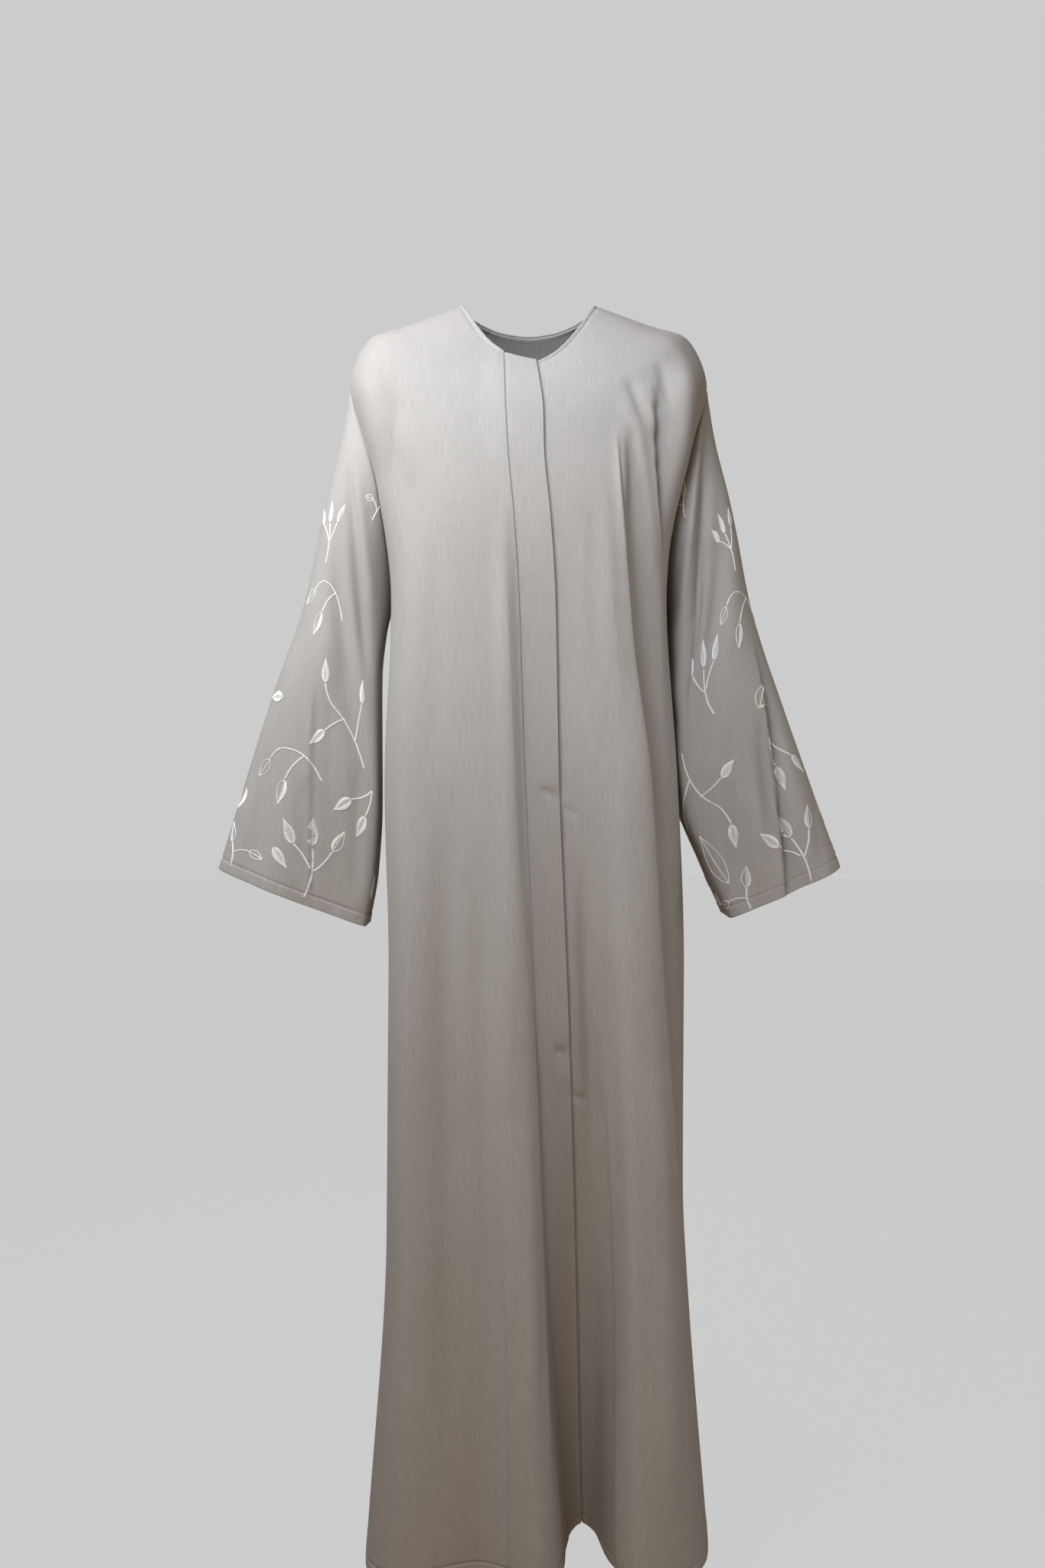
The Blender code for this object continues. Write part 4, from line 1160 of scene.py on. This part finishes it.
# satin stitches: gap between them, how far they slant to the tip, and where they start beside the vein
SATIN_STEP, SATIN_SLANT, VEIN = 0.135, 0.13, 0.08
OUTLINE = (0.34, 0.24, 0.015)    # length, step and slant of the stitches of an outline


def on_sleeve(grid, places):
    """Points and normals of the sleeve at flat places, in centimetres round and down."""
    around, down = grid["around"], grid["down"]
    columns = around.shape[1]
    tree = tree_of(np.stack([around.ravel(), down.ravel(), np.zeros(around.size)], axis=1))
    nearest = np.array([tree.find((*place, 0.0))[1] for place in places])
    row = np.clip(nearest // columns, 1, len(down) - 2)
    column = np.clip(nearest % columns, 1, columns - 2)

    def slopes(values):
        across = values[row, column + 1] - values[row, column - 1]
        along = values[row + 1, column] - values[row - 1, column]
        return across / 2, along / 2

    off = places - np.stack([around[row, column], down[row, column]], axis=1)
    (across_u, along_u), (across_v, along_v) = slopes(around), slopes(down)
    area = across_u * along_v - along_u * across_v
    columns_on = (off[:, 0] * along_v - off[:, 1] * along_u) / area
    rows_on = (off[:, 1] * across_u - off[:, 0] * across_v) / area
    found = []
    for values in (grid["points"], grid["normals"]):
        across, along = slopes(values)
        found.append(values[row, column] + across * columns_on[:, None] + along * rows_on[:, None])
    return found[0], unit(found[1])


def stem_stitches(line, length=0.42, step=0.26, slant=0.035):
    """Flat starts and ends of the stitches of a stem."""
    places = lengths_along(line)
    stitches = []
    for start in np.arange(0, max(places[-1] - length * 0.6, 0.01), step):
        ends = [read_at(line, places, at) for at in (start, min(start + length, places[-1]))]
        across = unit(ends[1] - ends[0])[::-1] * (1, -1) * slant
        stitches.append((ends[0] - across, ends[1] + across))
    return stitches


def leaf_stitches(x, y, direction, length, width, filling):
    """Flat starts and ends of the stitches of a leaf."""
    turned = np.radians(direction)
    forward, across = np.array([np.cos(turned), np.sin(turned)]), np.array([-np.sin(turned), np.cos(turned)])
    root = np.array([x, y], float)

    def at(share, side):
        half = width / 2 * np.sin(np.pi * np.clip(share, 0, 1) ** LEAF_BELLY) ** LEAF_SHARP
        return root + forward * length * share + across * half * side

    edge = np.linspace(0, 1, 25)
    stitches = stem_stitches(np.array([at(share, 0) for share in edge]))
    for side in (1, -1):
        if filling == "full" or (filling == "half" and side == 1):
            for share in np.arange(0.02, 0.95, SATIN_STEP / length):
                slanted = share + SATIN_SLANT * (1 - share * 0.6)
                stitches.append((at(share, side * VEIN), at(slanted, side)))
        else:
            stitches += stem_stitches(np.array([at(share, side) for share in edge]), *OUTLINE)
    return stitches


print("a full leaf takes", len(leaf_stitches(0, 0, 90, 2.8, 1.3, "full")), "stitches")


# %% Work a sleeve
THREAD_WIDE, THREAD_HIGH = 0.125, 0.075
STRANDS = (-0.055, 0.055)                # a stem is two rows of stitches, this far off its line
TOP_CLEAR, CUFF_CLEAR = 1, 0.1           # no stitch is set nearer to the sleeve's ends


def embroider(name, grid, layout):
    """The sprigs of a layout, sewn on one sleeve."""
    threads = []
    lowest = grid["down"].max() - CUFF_CLEAR
    for drawing, around, down, turn, size, mirrored in layout:
        stitches = []
        for line in SPRIGS[drawing]["stems"]:
            for strand in STRANDS:
                stitches += stem_stitches(bent(line, 20) + (strand, 0))
        for leaf in SPRIGS[drawing]["leaves"]:
            stitches += leaf_stitches(*leaf)
        ends = np.array(stitches).reshape(-1, 2) * size
        ends[:, 0] *= -1 if mirrored else 1
        turned = np.radians(turn)
        ends = ends @ np.array([[np.cos(turned), np.sin(turned)], [-np.sin(turned), np.cos(turned)]])
        places = np.stack([around + ends[:, 0], down - ends[:, 1]], axis=1)
        points, normals = on_sleeve(grid, places)
        for number in range(0, len(points), 2):
            depths = places[number:number + 2, 1]
            if min(depths) > TOP_CLEAR and max(depths) < lowest:
                stitch = points[number], points[number + 1], normals[number]
                threads.append((*stitch, THREAD_WIDE, THREAD_HIGH))
    piece = join_threads(name, threads, embroidery_thread)
    print(name, len(layout), "sprigs,", len(piece.data.polygons), "faces")
    return piece


# drawing, cm round from the sleeve's outer edge, cm down, turn in degrees, size, mirrored
LAYOUT_LEFT = (
    ("bud", 16.6, 14.0, 26, 0.90, False),
    ("fan", 6.5, 22.5, -12, 0.85, True),
    ("arch", 2.5, 29.0, 16, 1.00, True),
    ("fan", 15.0, 37.0, -8, 1.05, False),
    ("half", 8.4, 38.5, 68, 1.00, False),
    ("long", 21.5, 39.5, 188, 0.95, False),
    ("pair", 8.0, 42.0, 8, 1.00, False),
    ("blade", 19.0, 55.5, -16, 0.95, False),
    ("loose", 2.6, 51.0, 210, 0.95, False),
    ("fan", 9.6, 59.2, -4, 1.00, True),
    ("bud", 17.6, 59.4, 12, 0.95, False),
    ("loose", 26.6, 57.0, 140, 0.95, False),
    ("loose", 3.2, 57.0, 62, 0.95, True),
    ("fan", -6.5, 24.0, 12, 0.95, True),
    ("long", -14.0, 36.0, -12, 0.95, False),
    ("pair", -3.0, 33.0, -8, 1.00, True),
    ("arch", -16.0, 45.0, 10, 0.95, False),
    ("fan", -7.5, 50.0, -16, 1.00, False),
    ("loose", -13.5, 52.5, 120, 0.95, False),
    ("bud", -18.5, 55.5, 14, 1.00, True),
    ("blade", -4.0, 58.0, -14, 0.90, False),
)
LAYOUT_RIGHT = (
    ("bud", 16.4, 14.5, -26, 0.90, True),
    ("fan", 7.0, 21.5, 10, 0.85, False),
    ("arch", 13.0, 27.0, -8, 1.00, False),
    ("long", 19.5, 42.0, 14, 0.95, True),
    ("loose", 5.4, 38.0, 70, 0.95, True),
    ("arch", 13.6, 45.5, 6, 1.00, False),
    ("pair", 21.0, 44.0, -10, 1.00, False),
    ("fan", 14.5, 58.8, 6, 1.05, False),
    ("loose", 23.0, 56.5, 24, 0.95, False),
    ("bud", 4.6, 58.6, 22, 1.00, False),
    ("half", 3.4, 49.5, 190, 0.95, False),
    ("loose", 9.4, 54.6, 205, 0.95, True),
    ("long", -6.0, 26.0, 10, 0.90, True),
    ("fan", -16.5, 36.5, -6, 0.95, False),
    ("pair", -7.0, 36.5, 12, 1.00, False),
    ("arch", -11.0, 48.0, -12, 0.95, True),
    ("loose", -19.0, 44.0, 100, 0.95, False),
    ("fan", -15.5, 57.5, 14, 1.00, True),
    ("bud", -3.2, 58.8, -12, 0.95, False),
    ("blade", -1.5, 44.5, 8, 0.90, False),
)
embroidery_left = embroider("embroidery_left", grid_left, LAYOUT_LEFT)
embroidery_right = embroider("embroidery_right", grid_right, LAYOUT_RIGHT)

# %% [markdown]
# ## What each piece is
# The cloth sheets take the place of the solid pieces of the same name, which are hidden, and everything
# moves with the one body. Each sheet also prints how large it was cut.

CUTS = (
    (front_right, "front_right", cut_front_right, [placket], []),
    (front_left, "front_left", cut_front_left, [back], []),
    (back, "back", cut_back, [front_right, front_left], []),
    (placket, "placket", cut_placket, [front_left], []),
    (sleeve_right, "sleeve_right", cut_right, [front_right, back], [embroidery_right]),
    (sleeve_left, "sleeve_left", cut_left, [front_left, back], [embroidery_left]),
)
for piece, node, (width, length, area), holds, worked in CUTS:
    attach(piece, "root")
    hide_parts(node)
    print(node, "cut", round(width, 3), "by", round(length, 3), "m")
for piece in (stitching, embroidery_left, embroidery_right):
    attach(piece, "root")

# %% [markdown]
# ## Light and floor
# Cloth needs soft light that comes mostly from one side, or its folds vanish. Left and right are the
# camera's. The window lamp, the front lamp and the two on the left give the pale top and the slow fall
# towards the hem. Weaker ones on the right and near the floor keep the shadows open. The last lamp stands
# behind, so that the back can be seen too. The floor and the surroundings glow evenly, like a studio paper
# roll that is lit by itself. The camera sees that glow, but the cloth gets no light from the floor, and only
# a weak warm light from the surroundings.

# %% Lamps
def add_lamp(name, place, target, size, power, colour):
    """A round lamp in metres and watts, aimed at a point. The camera doesn't see it."""
    lamp_data = bpy.data.lights.new(name, "AREA")
    lamp_data.shape = "DISK"
    lamp_data.size = size
    lamp_data.energy = power
    lamp_data.color = colour
    lamp = add_object(name, lamp_data)
    lamp.location = place
    lamp.rotation_euler = (Vector(target) - Vector(place)).to_track_quat("-Z", "Y").to_euler()
    lamp.visible_camera = False


# name, place, point that it is aimed at, size, power, colour
LAMPS = (
    ("window", (-0.9, -0.2, 0.6), (0.0, 0.0, -0.3), 0.6, 9.0, (0.88, 0.91, 1.0)),
    ("front", (-0.22, -0.8, 0.28), (0.0, 0.0, -0.25), 0.55, 9.2, (0.75, 0.86, 1.0)),
    ("left_shoulder", (-0.7, -0.6, 0.15), (0.0, 0.0, -0.3), 0.5, 3.8, (1.0, 0.92, 0.83)),
    ("left_side", (-1.5, -0.5, -0.3), (0.0, 0.0, -0.5), 0.9, 2.4, (0.35, 0.75, 1.0)),
    ("right_side", (1.4, -0.5, -0.5), (0.0, 0.0, -0.6), 0.9, 3.2, (0.95, 1.0, 0.96)),
    ("right_low", (1.2, -0.8, -1.1), (0.0, 0.0, -0.9), 0.8, 1.5, (0.50, 0.70, 1.0)),
    ("floor_bounce", (0.0, -1.4, -1.25), (0.0, 0.0, -1.0), 0.8, 3.3, (1.0, 0.90, 0.80)),
    ("behind", (0.25, 1.8, 0.1), (0.0, 0.0, -0.6), 1.2, 9.0, (0.86, 0.93, 1.0)),
)
for lamp_row in LAMPS:
    add_lamp(*lamp_row)
print(len(LAMPS), "lamps")

# %% Surroundings and floor
PAPER = "#CCCCCC"
PAPER_GLOW = 0.97
ROOM_COLOUR, ROOM_GLOW = (1.0, 0.60, 0.27, 1.0), 0.135
FLOOR_Z, FLOOR_RADIUS = -1.465, 12.0
world = bpy.data.worlds.new("studio")
bpy.context.scene.world = world
world.use_nodes = True
sky = world.node_tree
ray = add_node(sky, "LightPath").outputs["Is Camera Ray"]
seen = sky.nodes["Background"].outputs[0]
sky.nodes["Background"].inputs["Color"].default_value = linear(PAPER)
lighting = add_node(sky, "Background", {"Color": ROOM_COLOUR, "Strength": ROOM_GLOW}).outputs[0]
blend = add_node(sky, "MixShader", {0: ray, 1: lighting, 2: seen}).outputs[0]
sky.links.new(blend, sky.nodes["World Output"].inputs["Surface"])

floor_mesh = bmesh.new()
below = Matrix.Translation((0, 0, FLOOR_Z))
bmesh.ops.create_circle(floor_mesh, cap_ends=True, segments=96, radius=FLOOR_RADIUS, matrix=below)
paper, _, paper_surface = new_material("matt_paper_floor")
paper_surface.inputs["Base Color"].default_value = (0.04, 0.04, 0.04, 1.0)
paper_surface.inputs["Roughness"].default_value = 1.0
paper_surface.inputs["Specular IOR Level"].default_value = 0.0
paper_surface.inputs["Emission Color"].default_value = linear(PAPER)
paper_surface.inputs["Emission Strength"].default_value = PAPER_GLOW
floor = mesh_piece("floor", floor_mesh, paper)
floor.visible_diffuse = False
floor.visible_glossy = False
print("floor at", FLOOR_Z, "m")
